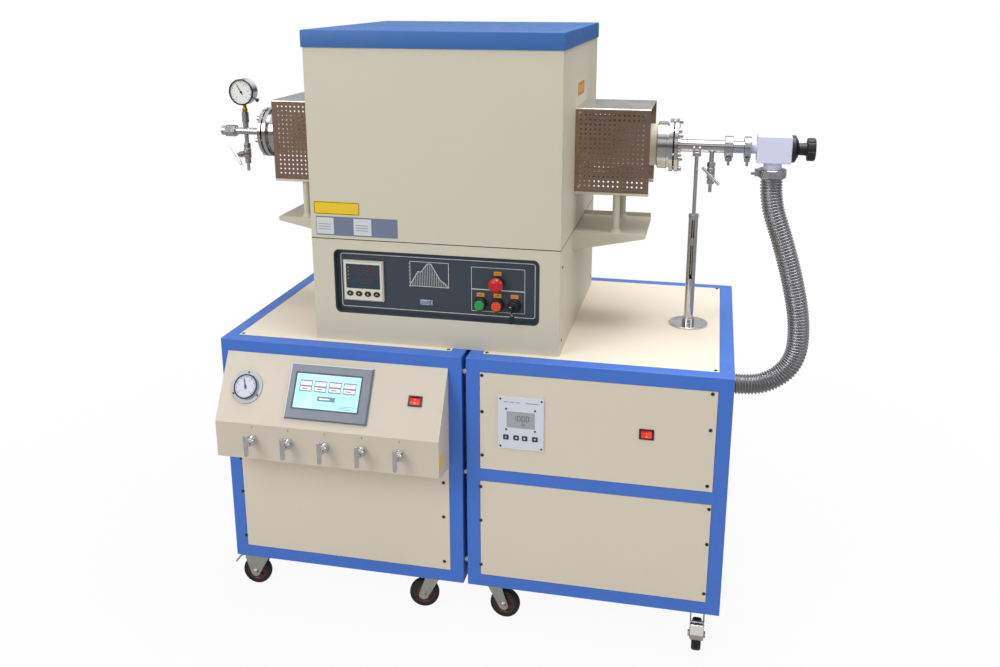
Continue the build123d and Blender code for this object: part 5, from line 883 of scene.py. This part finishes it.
def make_guard(side, name):
    """Perforated channel over the tube's end, its roof and bends a lighter grey than its walls as painted
    light from above, with the painted rails under it.
    """
    face = 213.0 if side > 0 else -377.0
    x = tuple(sorted((face, face + side * 175.0)))
    y, z, sheet, bend = (245.0, 445.0), (1047.0, 1245.0), 1.5, 3.0
    bm = bmesh.new()
    pitch, hole, columns, rows = 11.2, 4.7, 14, 16
    field_x, field_z = columns * pitch, rows * pitch
    centre_x = face + side * 86.0
    centre_z = 1146.0
    here = Matrix.Identity(4)
    window_x = (centre_x - field_x / 2, centre_x + field_x / 2)
    window_z = (centre_z - field_z / 2, centre_z + field_z / 2)
    for wall, at in (((y[0], y[0] + sheet), front(centre_x, centre_z, y[0])),
                     ((y[1] - sheet, y[1]), back(centre_x, centre_z, y[1]))):
        add_block(bm, here, x, wall, (z[0], window_z[0]))
        add_block(bm, here, x, wall, (window_z[1], z[1] - bend))
        add_block(bm, here, (x[0], window_x[0]), wall, window_z)
        add_block(bm, here, (window_x[1], x[1]), wall, window_z)
        add_field(bm, at, columns, rows, pitch, hole, sheet, "guard sheet")
    # Roof and bends take slot 1, the lighter grey: painted light on the top and a painted highlight on the
    # rounded edges.
    add_block(bm, here, x, (y[0] + bend, y[1] - bend), (z[1] - sheet, z[1]), 1)
    for centre, start in ((y[0] + bend, 90), (y[1] - bend, 0)):
        arc = [math.radians(start + 15 * i) for i in range(7)]
        outline = [(centre + bend * math.cos(a), z[1] - bend + bend * math.sin(a)) for a in arc]
        outline += [(centre + (bend - sheet) * math.cos(a),
                     z[1] - bend + (bend - sheet) * math.sin(a)) for a in reversed(arc)]
        add_prism(bm, facing((x[0], 0, 0), (1, 0, 0), (0, 1, 0)), outline, 0.0, x[1] - x[0], 1)
    finish_piece(name + "_guard_sheet", bm, ["guard sheet", "guard roof"],
                 replaces=[name + "_tube_guard"], smooth=30)

    bm = bmesh.new()
    for rail in ((y[0], y[0] + 16.0), (y[1] - 16.0, y[1])):
        add_block(bm, here, x, rail, (1041.0, 1047.0), bevel=0.6)
    finish_piece(name + "_guard_rails", bm, ["furnace paint"])


# ---------------------------------------------------------------- control panel of the furnace

PLATE_Y = 64.0


def make_control_panel_face():
    """Printed lines, label tags and chart of the control plate."""
    at = front(0, 0, PLATE_Y)
    here = lambda x, z: at @ Matrix.Translation((x, z, 0))
    bm = bmesh.new()
    add_outline(bm, here(-79.5, 847.5), 467, 131, 6, 1.3)
    add_outline(bm, here(67, 871.5), 126, 53, 2, 0.9)
    add_outline(bm, here(67, 818.5), 126, 53, 2, 0.9)
    add_stroke(bm, here(0, 0), (-146, 843), (-50, 843), 1.0)
    add_stroke(bm, here(0, 0), (-143, 840), (-143, 902), 1.0)
    add_stroke(bm, here(0, 0), (-143, 902), (-50, 902), 1.0)
    add_stroke(bm, here(0, 0), (-50, 842.5), (-50, 902.5), 1.0)
    profile = [(-143, 846), (-124, 878), (-116, 878), (-101, 898), (-92, 898), (-70, 860), (-58, 852),
               (-52, 844)]
    for a, b in zip(profile, profile[1:]):
        add_stroke(bm, here(0, 0), a, b, 1.2, high=0.3)
    for i in range(20):
        x = -138 + 4.2 * i
        height = next(az + (bz - az) * (x - ax) / (bx - ax) for (ax, az),
                      (bx, bz) in zip(profile, profile[1:]) if ax <= x <= bx)
        add_stroke(bm, here(0, 0), (x, 843), (x, height), 0.7)
    for i in range(6):
        add_stroke(bm, here(0, 0), (-146, 852 + 9 * i), (-143, 852 + 9 * i), 0.8)
    finish_piece("control_panel_lines", bm, ["white ink"])

    bm = bmesh.new()
    for x, z in ((66, 885), (26, 832), (66, 832), (106, 832)):
        add_prism(bm, here(x, z), rounded(18, 9.5, 1.0), 0.0, 0.6)
    add_text(bm, here(26, 832) @ Matrix.Translation((0, 0, 0.6)), "ON", 5.5, 1)
    add_text(bm, here(66, 832) @ Matrix.Translation((0, 0, 0.6)), "OFF", 5.5, 1)
    for x, z in ((66, 885), (106, 832)):
        add_stroke(bm, here(x, z), (-6, 0), (6, 0), 0.9, 1, 0.6, 0.8)
    finish_piece("panel_tags", bm, ["amber label", "dark ink"])

    bm = bmesh.new()
    port = here(-104, 805)
    add_loop(bm, port, rounded(31.6, 13.1, 2.0), rounded(17.2, 9.2, 1.6), 0.0, 2.35, 0)
    add_loop(bm, port, rounded(18.4, 10.4, 2.4), rounded(17.2, 9.2, 2.0), 2.0, 7.3, 0)
    add_prism(bm, port, rounded(17.0, 9.0, 2.0), 7.02, 7.2, 1)
    for row, count in ((1.3, 5), (-1.5, 4)):
        for i in range(count):
            add_lathe(bm, port @ Matrix.Translation(((i - (count - 1) / 2) * 2.7, row, 7.2)),
                      [(0, 0.55), (0.25, 0.55), (0.25, 0)],
                      2, 8)
    for side in (-1, 1):
        add_lathe(bm, port @ Matrix.Translation((side * 12.4, 0, 2.3)),
                  [(0, 2.3), (2.2, 2.3), (2.2, 1.3), (1.0, 1.3), (1.0, 0)],
                  0, 6)
    finish_piece("serial_port", bm, ["turned steel", "blue insert", "black plastic"])

    bm = bmesh.new()
    key = here(106, 811)
    add_stroke(bm, key, (-9.5, 0), (-4.5, 0), 1.6, 0, 15.4, 15.8)
    finish_piece("key_mark", bm, ["white ink"], body="key_switch")
    bm = bmesh.new()
    add_lathe(bm, facing((106, PLATE_Y - 33, 800), (1, 0, 0), (0, 1, 0)),
              [(-0.5, 5.6), (0.5, 5.6), (0.5, 6.6), (-0.5, 6.6)], 0, 20, True)
    add_prism(bm, facing((106, PLATE_Y - 33, 786), (0.5, -1, 0), (1, 0.5, 0)), rounded(13, 18, 3.0), -1.0,
              1.0, 1)
    finish_piece("key_tag", bm, ["turned steel", "black plastic"], body="key_switch")


def make_controller_face():
    """Display, figures and keys of the temperature controller."""
    at = front(-256, 849, PLATE_Y - 9)
    bm = bmesh.new()
    add_prism(bm, at @ Matrix.Translation((0, 11, 0)), rounded(83, 59, 1.0), -1.0, -0.25, 0)
    add_digits(bm, at @ Matrix.Translation((4, 25, 0)), "0025", 17, 1, -0.25, -0.1)
    add_digits(bm, at @ Matrix.Translation((8, 0, 0)), "0000", 11, 1, -0.25, -0.1)
    for i in range(4):
        add_lathe(bm, at @ Matrix.Translation((-36, 32 - 9 * i, -0.25)), [(0, 1.2), (0.15, 1.2), (0.15, 0)],
                  2, 10)
    finish_piece("controller_display", bm, ["teal display", "red digits", "amber label"])
    bm = bmesh.new()
    for i in range(4):
        key = at @ Matrix.Translation(((i - 1.5) * 22, -31, 0))
        key_outline = [(8.0 * math.cos(a), 6.3 * math.sin(a)) for a in (math.pi * k / 14 for k in range(28))]
        add_prism(bm, key, key_outline, 0.0, 1.9, 0)
        marks = (((-2.6, -1.5), (0, 2)), ((0, 2), (2.6, -1.5))) if i in (0, 3) else (((-2.4, 0), (2.4, 0)),
                ((0, -2.4), (0, 2.4)))
        turn = Matrix.Rotation(math.pi if i == 1 else 0.0, 4, "Z")
        for a, b in marks:
            add_stroke(bm, key @ turn, a, b, 0.9, 1, 1.9, 2.05)
    add_outline(bm, at, 94, 94, 2, 0.7, 2, 0.0, 0.15)
    finish_piece("controller_keys", bm, ["black plastic", "white ink", "grey label"])


# ---------------------------------------------------------------- gas console

def add_dial(bm, at, radius, slots, pointer, ticks=40, figures=6, heavy=1.0):
    """White dial with its scale, plain figures and a pointer."""
    white, ink, hand = slots
    add_lathe(bm, at, [(0, radius), (0.4, radius), (0.4, 0)], white, 48)
    for i in range(ticks + 1):
        angle = math.radians(225 - 270 * i / ticks)
        way = Vector((math.cos(angle), math.sin(angle)))
        long = i % 5 == 0
        add_stroke(bm, at, way * radius * (0.78 if long else 0.85), way * radius * 0.93,
                   heavy * radius * (0.03 if long else 0.018),
                   ink, 0.4, 0.5)
    for i in range(figures):
        angle = math.radians(225 - 270 * i / (figures - 1))
        spot = Matrix.Translation((radius * 0.62 * math.cos(angle), radius * 0.62 * math.sin(angle), 0.4))
        add_text(bm, at @ spot, str(i), radius * 0.20, ink, 0.05)
    angle = math.radians(pointer)
    way = Vector((math.cos(angle), math.sin(angle)))
    side = way.orthogonal() * heavy * radius * 0.05
    tip, tail = way * radius * 0.80, -way * radius * 0.24
    add_prism(bm, at, [tuple(tail + side), tuple(tail - side), tuple(tip - side * 0.2),
                       tuple(tip + side * 0.2)], 1.3, 1.7, hand)
    add_lathe(bm, at, [(0.4, radius * 0.10), (2.0, radius * 0.10), (2.2, radius * 0.07), (2.2, 0)], hand,
              20)


def make_gauges():
    """The round gauge on the console, and the one that stands on the gas inlet line."""
    at = console_slope(-521, 84)
    bm = bmesh.new()
    add_lathe(bm, at, [(-0.2, 0), (-0.2, 39.6), (1.6, 40.0), (2.5, 39.2), (2.5, 29.8), (8.8, 29.6),
                       (8.8, 0)], 0, 64)
    # The bezel ring is black: painted shade, standing in for the dark ring that the bezel's shadow makes
    # round the dial.
    add_lathe(bm, at, [(8.6, 29.8), (9.8, 29.6), (11.0, 28.6), (11.0, 26.6), (8.6, 26.2)], 3, 64, True)
    add_lathe(bm, at, [(-26, 0), (-26, 27.4), (0, 27.4), (0, 0)], 4, 40)
    add_dial(bm, at @ Matrix.Translation((0, 0, 8.7)), 26.3, (1, 2, 3), 108, heavy=1.7)
    for i in range(3):
        angle = math.radians(90 + 120 * i)
        head = at @ Matrix.Translation((35 * math.cos(angle), 35 * math.sin(angle), 2.4))
        add_lathe(bm, head, [(0, 2.6), (1.0, 2.6), (1.5, 1.8), (1.5, 0)], 4, 12)
    finish_piece("console_pressure_gauge", bm, ["gauge flange", "dial blue", "dark ink", "black plastic",
                                                "dark screw"],
                 replaces=["pressure_gauges"])

    at = front(-675, 1253, 345)
    bm = bmesh.new()
    add_lathe(bm, at, [(-15, 0), (-15, 30), (-12.5, 33.4), (14.0, 33.4), (14.0, 0)], 0, 64)
    add_lathe(bm, at, [(14.0, 33.7), (16.6, 33.7), (18.0, 32.4), (18.0, 30.4), (15.6, 30.2), (14.0, 30.2)],
              3, 64, True)
    add_dial(bm, at @ Matrix.Translation((0, 0, 14.2)), 30.2, (1, 2, 3), 122)
    add_lathe(bm, facing((-675, 345, 1199), (0, 0, 1)),
              [(0, 5.4), (2, 7.6), (10, 7.6), (12, 5.4), (24, 5.4)], 4, 6)
    vent = facing((-645, 345, 1236), (0.86, 0, -0.5), (0, 1, 0))
    add_lathe(bm, vent, [(-4, 1.6), (5, 1.6), (5, 4.6), (6, 5.2), (10, 5.2), (11, 4.4), (11, 0)], 3, 16)
    finish_piece("line_pressure_gauge", bm, ["chrome", "dial white", "dark ink", "black plastic", "brass"])


def make_touch_screen_face():
    """Lit screen with four plain value fields, a bar and a few lines under them, inside a dark frame, and
    pale strokes painted as highlight on the bezel's top and left edges.
    """
    at = console_slope(-317, 81) @ Matrix.Translation((0, 0, 6.0))
    bm = bmesh.new()
    add_prism(bm, at, rounded(159, 81, 0.8), 0.0, 0.25, 0)
    add_loop(bm, at, rounded(166, 88, 2.0), rounded(159.4, 81.4, 0.9), 1.0, 1.3, 4)
    # Pale strokes along the bezel's top and left edges: painted highlight where the rim catches the light.
    bezel = console_slope(-313, 83) @ Matrix.Translation((0, 0, 7.0))
    add_stroke(bm, bezel, (-100, 64.2), (100, 64.2), 2.2, 5, 0.0, 0.25)
    add_stroke(bm, bezel, (-100.2, -64), (-100.2, 63), 2.2, 5, 0.0, 0.25)
    for i in range(4):
        field = at @ Matrix.Translation(((i - 1.5) * 36, 12, 0))
        add_prism(bm, field, rounded(31, 27, 1.2), 0.25, 0.4, 1)
        add_prism(bm, field @ Matrix.Translation((0, 6, 0)), rounded(27, 9, 0.6), 0.4, 0.5, 2)
        add_digits(bm, field @ Matrix.Translation((0, 6, 0)), "000", 6, 3, 0.5, 0.6)
        add_prism(bm, field @ Matrix.Translation((0, -6.5, 0)), rounded(27, 8, 0.6), 0.4, 0.5, 2)
        add_stroke(bm, field @ Matrix.Translation((0, -6.5, 0)), (-9, 0), (5, 0), 2.4, 3, 0.5, 0.6)
    add_prism(bm, at @ Matrix.Translation((0, -16, 0)), rounded(44, 11, 1.0), 0.25, 0.4, 1)
    add_stroke(bm, at @ Matrix.Translation((0, -16, 0)), (-17, 0), (9, 0), 3.0, 2, 0.4, 0.5)
    for i in range(3):
        add_stroke(bm, at, (34, -30 - 3.4 * i), (70 - 9 * (i % 2), -30 - 3.4 * i), 1.1, 1, 0.25, 0.4)
    finish_piece("touch_screen_display", bm, ["screen blue", "screen dark", "screen white", "red digits",
                                              "slate", "pale label"])
    bm = bmesh.new()
    lamp = console_slope(-226, 25) @ Matrix.Translation((0, 0, 6.6))
    add_lathe(bm, lamp, [(0, 1.5), (0.8, 1.5), (0.8, 0)], 0, 12)
    finish_piece("touch_screen_lamp", bm, ["green plastic"])


def make_console_marks():
    """Numbers over the valves, a plain label on the side and the marks of the rockers."""
    bm = bmesh.new()
    for i in range(5):
        x = -311.5 + 90.8 * (i - 2)
        at = front(x, 517, -88)
        add_text(bm, at, str(i + 1), 8.0, 0, 0.1)
    finish_piece("valve_numbers", bm, ["dark ink"])
    bm = bmesh.new()
    add_prism(bm, right_side(-70, 470, -37), rounded(30, 34, 1.0), 0.0, 0.3)
    finish_piece("console_side_label", bm, ["yellow label"])
    for name, body, at in (("gas", "gas_power_rocker", console_slope(-104, 82)),
                           ("vacuum", "vacuum_power_rocker", front(421, 551))):
        tilt = at @ Matrix.Translation((0, 0, -2)) @ Matrix.Rotation(math.radians(8), 4,
                "X") @ Matrix.Translation((0, 0, 2))
        bm = bmesh.new()
        upper = tilt @ Matrix.Translation((0, 3.9, 3.15)) @ Matrix.Rotation(math.radians(14.3), 4, "X")
        lower = tilt @ Matrix.Translation((0, -3.9, 3.15)) @ Matrix.Rotation(math.radians(-14.3), 4, "X")
        add_stroke(bm, upper, (0, -1.6), (0, 1.6), 0.9, 0, -0.1, 0.25)
        add_lathe(bm, lower, [(-0.1, 1.1), (0.25, 1.1), (0.25, 1.9), (-0.1, 1.9)], 0, 20, True)
        finish_piece(name + "_rocker_marks", bm, ["white ink"], body=body)


# ---------------------------------------------------------------- vacuum gauge unit

def make_gauge_unit_face():
    """Display, keys and plain lines of the vacuum gauge unit."""
    at = front(135.5, 549.5, -4)
    bm = bmesh.new()
    add_prism(bm, at @ Matrix.Translation((-1, 9, 0)), rounded(65, 39, 1.0), -1.0, -0.3, 1)
    add_digits(bm, at @ Matrix.Translation((0, 13, 0)), "1000", 12, 2, -0.3, -0.15)
    add_digits(bm, at @ Matrix.Translation((6, -2, 0)), "00", 6, 2, -0.3, -0.15)
    for i, x in enumerate((-35, -11, 9, 33)):
        key = at @ Matrix.Translation((x, -35.5, 0))
        add_prism(bm, key, rounded(13, 12, 2.0), 0.0, 0.8, 2)
        if i in (1, 2):
            side = 1 if i == 2 else -1
            add_prism(bm, key, [(-side * 2.5, -3), (side * 3, 0), (-side * 2.5, 3)][::side], 0.8, 0.95, 3)
        else:
            add_stroke(bm, key, (-3, 0), (3, 0), 1.2, 3, 0.8, 0.95)
            add_stroke(bm, key, (0, -3), (0, 3), 1.2, 3, 0.8, 0.95)
    for i in range(3):
        add_stroke(bm, at, (-40 + 14 * i, 52), (-30 + 14 * i, 52), 1.6, 0)
    add_stroke(bm, at, (10, 52), (40, 52), 1.6, 0)
    finish_piece("gauge_unit_face", bm, ["grey label", "unit display", "dark ink", "white ink"])


# ---------------------------------------------------------------- labels on the furnace

def make_labels():
    """Plain coloured label plates on the furnace, with nothing but a border or thin lines on them."""
    bm = bmesh.new()
    at = front(0, 0, 50)
    upper = at @ Matrix.Translation((-312.5, 1023, 0))
    add_prism(bm, upper, rounded(113, 31, 3.0), 0.0, 0.3, 0)
    add_outline(bm, upper, 110, 28, 2.0, 1.2, 3, 0.3, 0.4)
    strip = at @ Matrix.Translation((-265, 980.5, 0))
    add_prism(bm, strip, rounded(199, 45, 1.5), 0.0, 0.3, 1)
    for low, high in ((-98, -56), (-7, 36)):
        add_prism(bm, strip @ Matrix.Translation(((low + high) / 2, 0, 0)), rounded(high - low, 39, 1.0),
                  0.3, 0.45, 2)
        for i in range(3):
            add_stroke(bm, strip, (low + 5, -8 + 6 * i), (high - 8, -8 + 6 * i), 1.0, 3, 0.45, 0.55)
    finish_piece("front_labels", bm, ["yellow label", "grey label", "pale label", "dark ink"])
    bm = bmesh.new()
    add_prism(bm, right_side(333, 1283, 213), rounded(112, 31, 2.0), 0.0, 0.3, 0)
    add_outline(bm, right_side(333, 1283, 213), 106, 25, 1.5, 0.9, 1, 0.3, 0.4)
    finish_piece("side_label", bm, ["gold label", "dark ink"])


# ---------------------------------------------------------------- screws of every panel

def panel_corners(at_one, spans, inset):
    (a0, a1), (b0, b1) = spans
    return [at_one(a, b) for a in (a0 + inset, a1 - inset) for b in (b0 + inset, b1 - inset)]


def make_seam():
    """Dark strip painted as the shadow line where the furnace body stands on its base."""
    bm = bmesh.new()
    x, y, z, stand = (-377.0, 213.0), (50.0, 640.0), (949.2, 951.0), 0.3
    outer = [(x[0] - stand, y[0] - stand), (x[1] + stand, y[0] - stand), (x[1] + stand, y[1] + stand),
             (x[0] - stand, y[1] + stand)]
    inner = [(x[0] + 0.5, y[0] + 0.5), (x[1] - 0.5, y[0] + 0.5), (x[1] - 0.5, y[1] - 0.5),
             (x[0] + 0.5, y[1] - 0.5)]
    # A thin black band just proud of the walls: painted shadow of the seam.
    add_loop(bm, Matrix.Identity(4), outer, inner, z[0], z[1], 0)
    finish_piece("body_seam", bm, ["black plastic"])


def make_screws():
    """Screw heads on every panel, and on the gauge unit's face."""
    places = []
    for z in (660, 570, 460):
        places.append(front(43, z))
    for z in (661, 575, 439):
        places.append(front(560, z))
    places += [front(39, 378), front(39, 289), front(39, 170), front(567, 382), front(567, 293),
               front(567, 165)]
    places += [front(-575, 294), front(-52, 377), front(-53, 286), front(-575, 385), front(-575, 170),
               front(-53, 165)]
    for left in (-605.0, 5.0):
        right = left + 600
        places += panel_corners(lambda x, y: level(x, y, 700), ((left + 32, right - 32), (32, 668)), 9)
        places += panel_corners(lambda x, z: back(x, z, 700), ((left + 32, right - 32), (142, 668)), 9)
    places += panel_corners(lambda y, z: right_side(y, z, 605), ((32, 668), (142, 668)), 9)
    places += panel_corners(lambda y, z: left_side(y, z, -605), ((32, 668), (142, 668)), 9)
    screw_field("panel_screws", places, 1.0)

    furnace = [right_side(y, 905, 213) for y in (80, 610)] + [right_side(y, 730, 213) for y in (80, 610)]
    furnace += [left_side(y, z, -377) for y in (80, 610) for z in (905, 730)]
    furnace += [back(x, z, 640) for x in (-357, 193) for z in (720, 930, 970, 1370)]
    screw_field("furnace_screws", furnace, 0.85)
    guards = [at(x, z, y) for x in (223.0, -387.0) for z in (1234, 1058) for at,
              y in ((front, 245), (back, 445))]
    screw_field("guard_screws", guards, 0.7, "zinc")

    unit = [front(x, z, -4) for x in (87.5, 183.5) for z in (490.5, 608.5)]
    unit += [front(x, z, -4) for x in (101, 168) for z in (584.5, 533.5)]
    screw_field("gauge_unit_screws", unit, 0.6)


# ---------------------------------------------------------------- casters

def make_wheels():
    """Tyre and hub for each of the eight casters."""
    casters = zip(("gas_left", "gas_right", "vacuum_left", "vacuum_right"), (-550.0, -93.0, 60.0, 556.0),
                  (180.0, 187.0, -6.0, -90.0))
    for name, x, heading in casters:
        for end, y, turn, body in (("front", 55.0, heading, name + "_wheel"),
                                   ("rear", 640.0, -90.0, name + "_back_wheel")):
            angle = math.radians(turn)
            centre = (x + 28 * math.cos(angle), y + 28 * math.sin(angle), 37.5)
            at = facing(centre, (-math.sin(angle), math.cos(angle), 0),
                        (math.cos(angle), math.sin(angle), 0))
            bm = bmesh.new()
            half = [(9.0, 26.6), (11.0, 27.6), (11.0, 32.5), (9.6, 35.6), (6.0, 36.9), (2.6, 37.3),
                    (2.2, 36.5), (1.4, 36.5), (1.0, 37.5)]
            profile = half + [(-h, r) for h, r in reversed(half)]
            add_lathe(bm, at, profile, 0, 40, True)
            finish_piece(f"{name}_{end}_tyre", bm, ["tyre"], body=body,
                         replaces=[f"{name}_{end}_wheel"])
            bm = bmesh.new()
            half = [(11.2, 4.2), (11.2, 9.0), (8.0, 10.5), (6.2, 14.0), (6.2, 21.0), (8.8, 23.6),
                    (9.2, 27.0)]
            add_lathe(bm, at, half + [(-h, r) for h, r in reversed(half)], 0, 40, True)
            for side in (-1, 1):
                for i in range(5):
                    spoke = at @ Matrix.Rotation(2 * math.pi * i / 5, 4, "Z")
                    add_block(bm, spoke, (9.5, 24.0), (-1.6, 1.6), tuple(sorted((side * 5.6, side * 8.6))),
                              0, 0.4)
            finish_piece(f"{name}_{end}_hub", bm, ["hub"], body=body)


# ---------------------------------------------------------------- hose and line details

HOSE_ROUTE = [
    (671.0, 1081.0), (671.0, 1023.0), (704.0, 936.0), (736.0, 835.0), (760.0, 734.0), (763.0, 652.0),
    (746.0, 604.0),
    (714.0, 571.0), (668.0, 549.0), (617.0, 549.0),
]


def make_hose():
    """Free bellows hose from the angle valve down to the port in the cabinet's side."""
    curve = bpy.data.curves.new("bellows hose", "CURVE")
    curve.dimensions = "3D"
    curve.resolution_u = 24
    spline = curve.splines.new("NURBS")
    spline.points.add(len(HOSE_ROUTE) - 1)
    for point, (x, z) in zip(spline.points, HOSE_ROUTE):
        point.co = (*(ROW @ Vector((x, 345.0, z))), 1.0)
    spline.order_u = 3
    spline.use_endpoint_u = True
    holder = spare_object("bellows hose", curve)
    line = bpy.data.meshes.new_from_object(holder.evaluated_get(bpy.context.evaluated_depsgraph_get()))
    mesh = evaluated(holder, BELLOWS, {"Outer Radius": 0.0262, "Rib Depth": 0.0044, "Rib Pitch": 0.0074,
                                       "Steps In Rib": 10,
                                       "Sides": 36, "Material": M["bellows steel"]})
    piece = finish_mesh("bellows_hose_ribs", mesh, ["bellows steel"], STATION, ["bellows_hose"])


def make_line_details():
    """Seal rings, bolt heads, the angle valve's cap sleeve and plain rings that the plain solids leave out.
    """
    bm = bmesh.new()
    for x in (440.0, -604.0):
        at = facing((x, 345, 1150), (1, 0, 0), (0, 1, 0))
        add_lathe(bm, at, [(-1.8, 49.6), (-1.8, 51.2), (1.8, 51.2), (1.8, 49.6)], 0, 64, True)
    finish_piece("flange_seals", bm, ["seal"])

    bm = bmesh.new()
    for side, face in ((1, 451.0), (-1, -615.0)):
        for i in range(6):
            angle = math.radians(15 + 60 * i)
            place = (face, 345 + 56.5 * math.cos(angle), 1150 + 56.5 * math.sin(angle))
            at = facing(place, (side, 0, 0), (0, side, 0))
            add_lathe(bm, at, [(0, 5.6), (6.6, 5.6), (7.4, 4.8), (7.4, 3.2), (4.0, 3.0), (4.0, 0)], 0, 12)
    finish_piece("flange_bolt_heads", bm, ["turned steel"])

    bm = bmesh.new()
    add_lathe(bm, facing((711, 345, 1150), (1, 0, 0), (0, 1, 0)),
              [(0.2, 31.6), (0.2, 31.95), (8.1, 31.95), (15.35, 19.4), (15.35, 7.0), (15.05, 7.0),
               (15.05, 19.0), (8.0, 31.6)],
              0, 48, True)
    finish_piece("angle_valve_cap_sleeve", bm, ["black plastic"])

    bm = bmesh.new()
    for z in (170.0, 405.0, 660.0):
        at = facing((-5, 16, z), (1, 0, 0), (0, 1, 0))
        add_lathe(bm, at, [(0.2, 6.6), (3.2, 6.6), (3.2, 4.6), (6.8, 4.6), (6.8, 6.6), (9.8, 6.6)], 0, 24)
    finish_piece("seam_bolts", bm, ["chrome"])

    bm = bmesh.new()
    at = level(494, 345, 705)
    for i in range(3):
        angle = math.radians(30 + 120 * i)
        head = at @ Matrix.Translation((36 * math.cos(angle), 36 * math.sin(angle), 0))
        add_lathe(bm, head, [(0, 3.6), (1.2, 3.6), (1.6, 2.6), (1.6, 1.6), (0.6, 1.5), (0.6, 0)], 0, 12)
    add_lathe(bm, level(494, 345, 976), [(0, 11.7), (0, 12.4), (6.3, 12.4), (6.3, 11.7)], 0, 40, True)
    finish_piece("stand_details", bm, ["upright steel"])


# ---------------------------------------------------------------- the whole scene

set_view()
set_light()
make_hose()
finish_nodes()
make_cover()
make_guard(-1, "left")
make_guard(1, "right")
make_control_panel_face()
make_controller_face()
make_gauges()
make_touch_screen_face()
make_console_marks()
make_gauge_unit_face()
make_labels()
make_seam()
make_screws()
make_wheels()
make_line_details()

bpy.context.scene.view_settings.view_transform = "Standard"
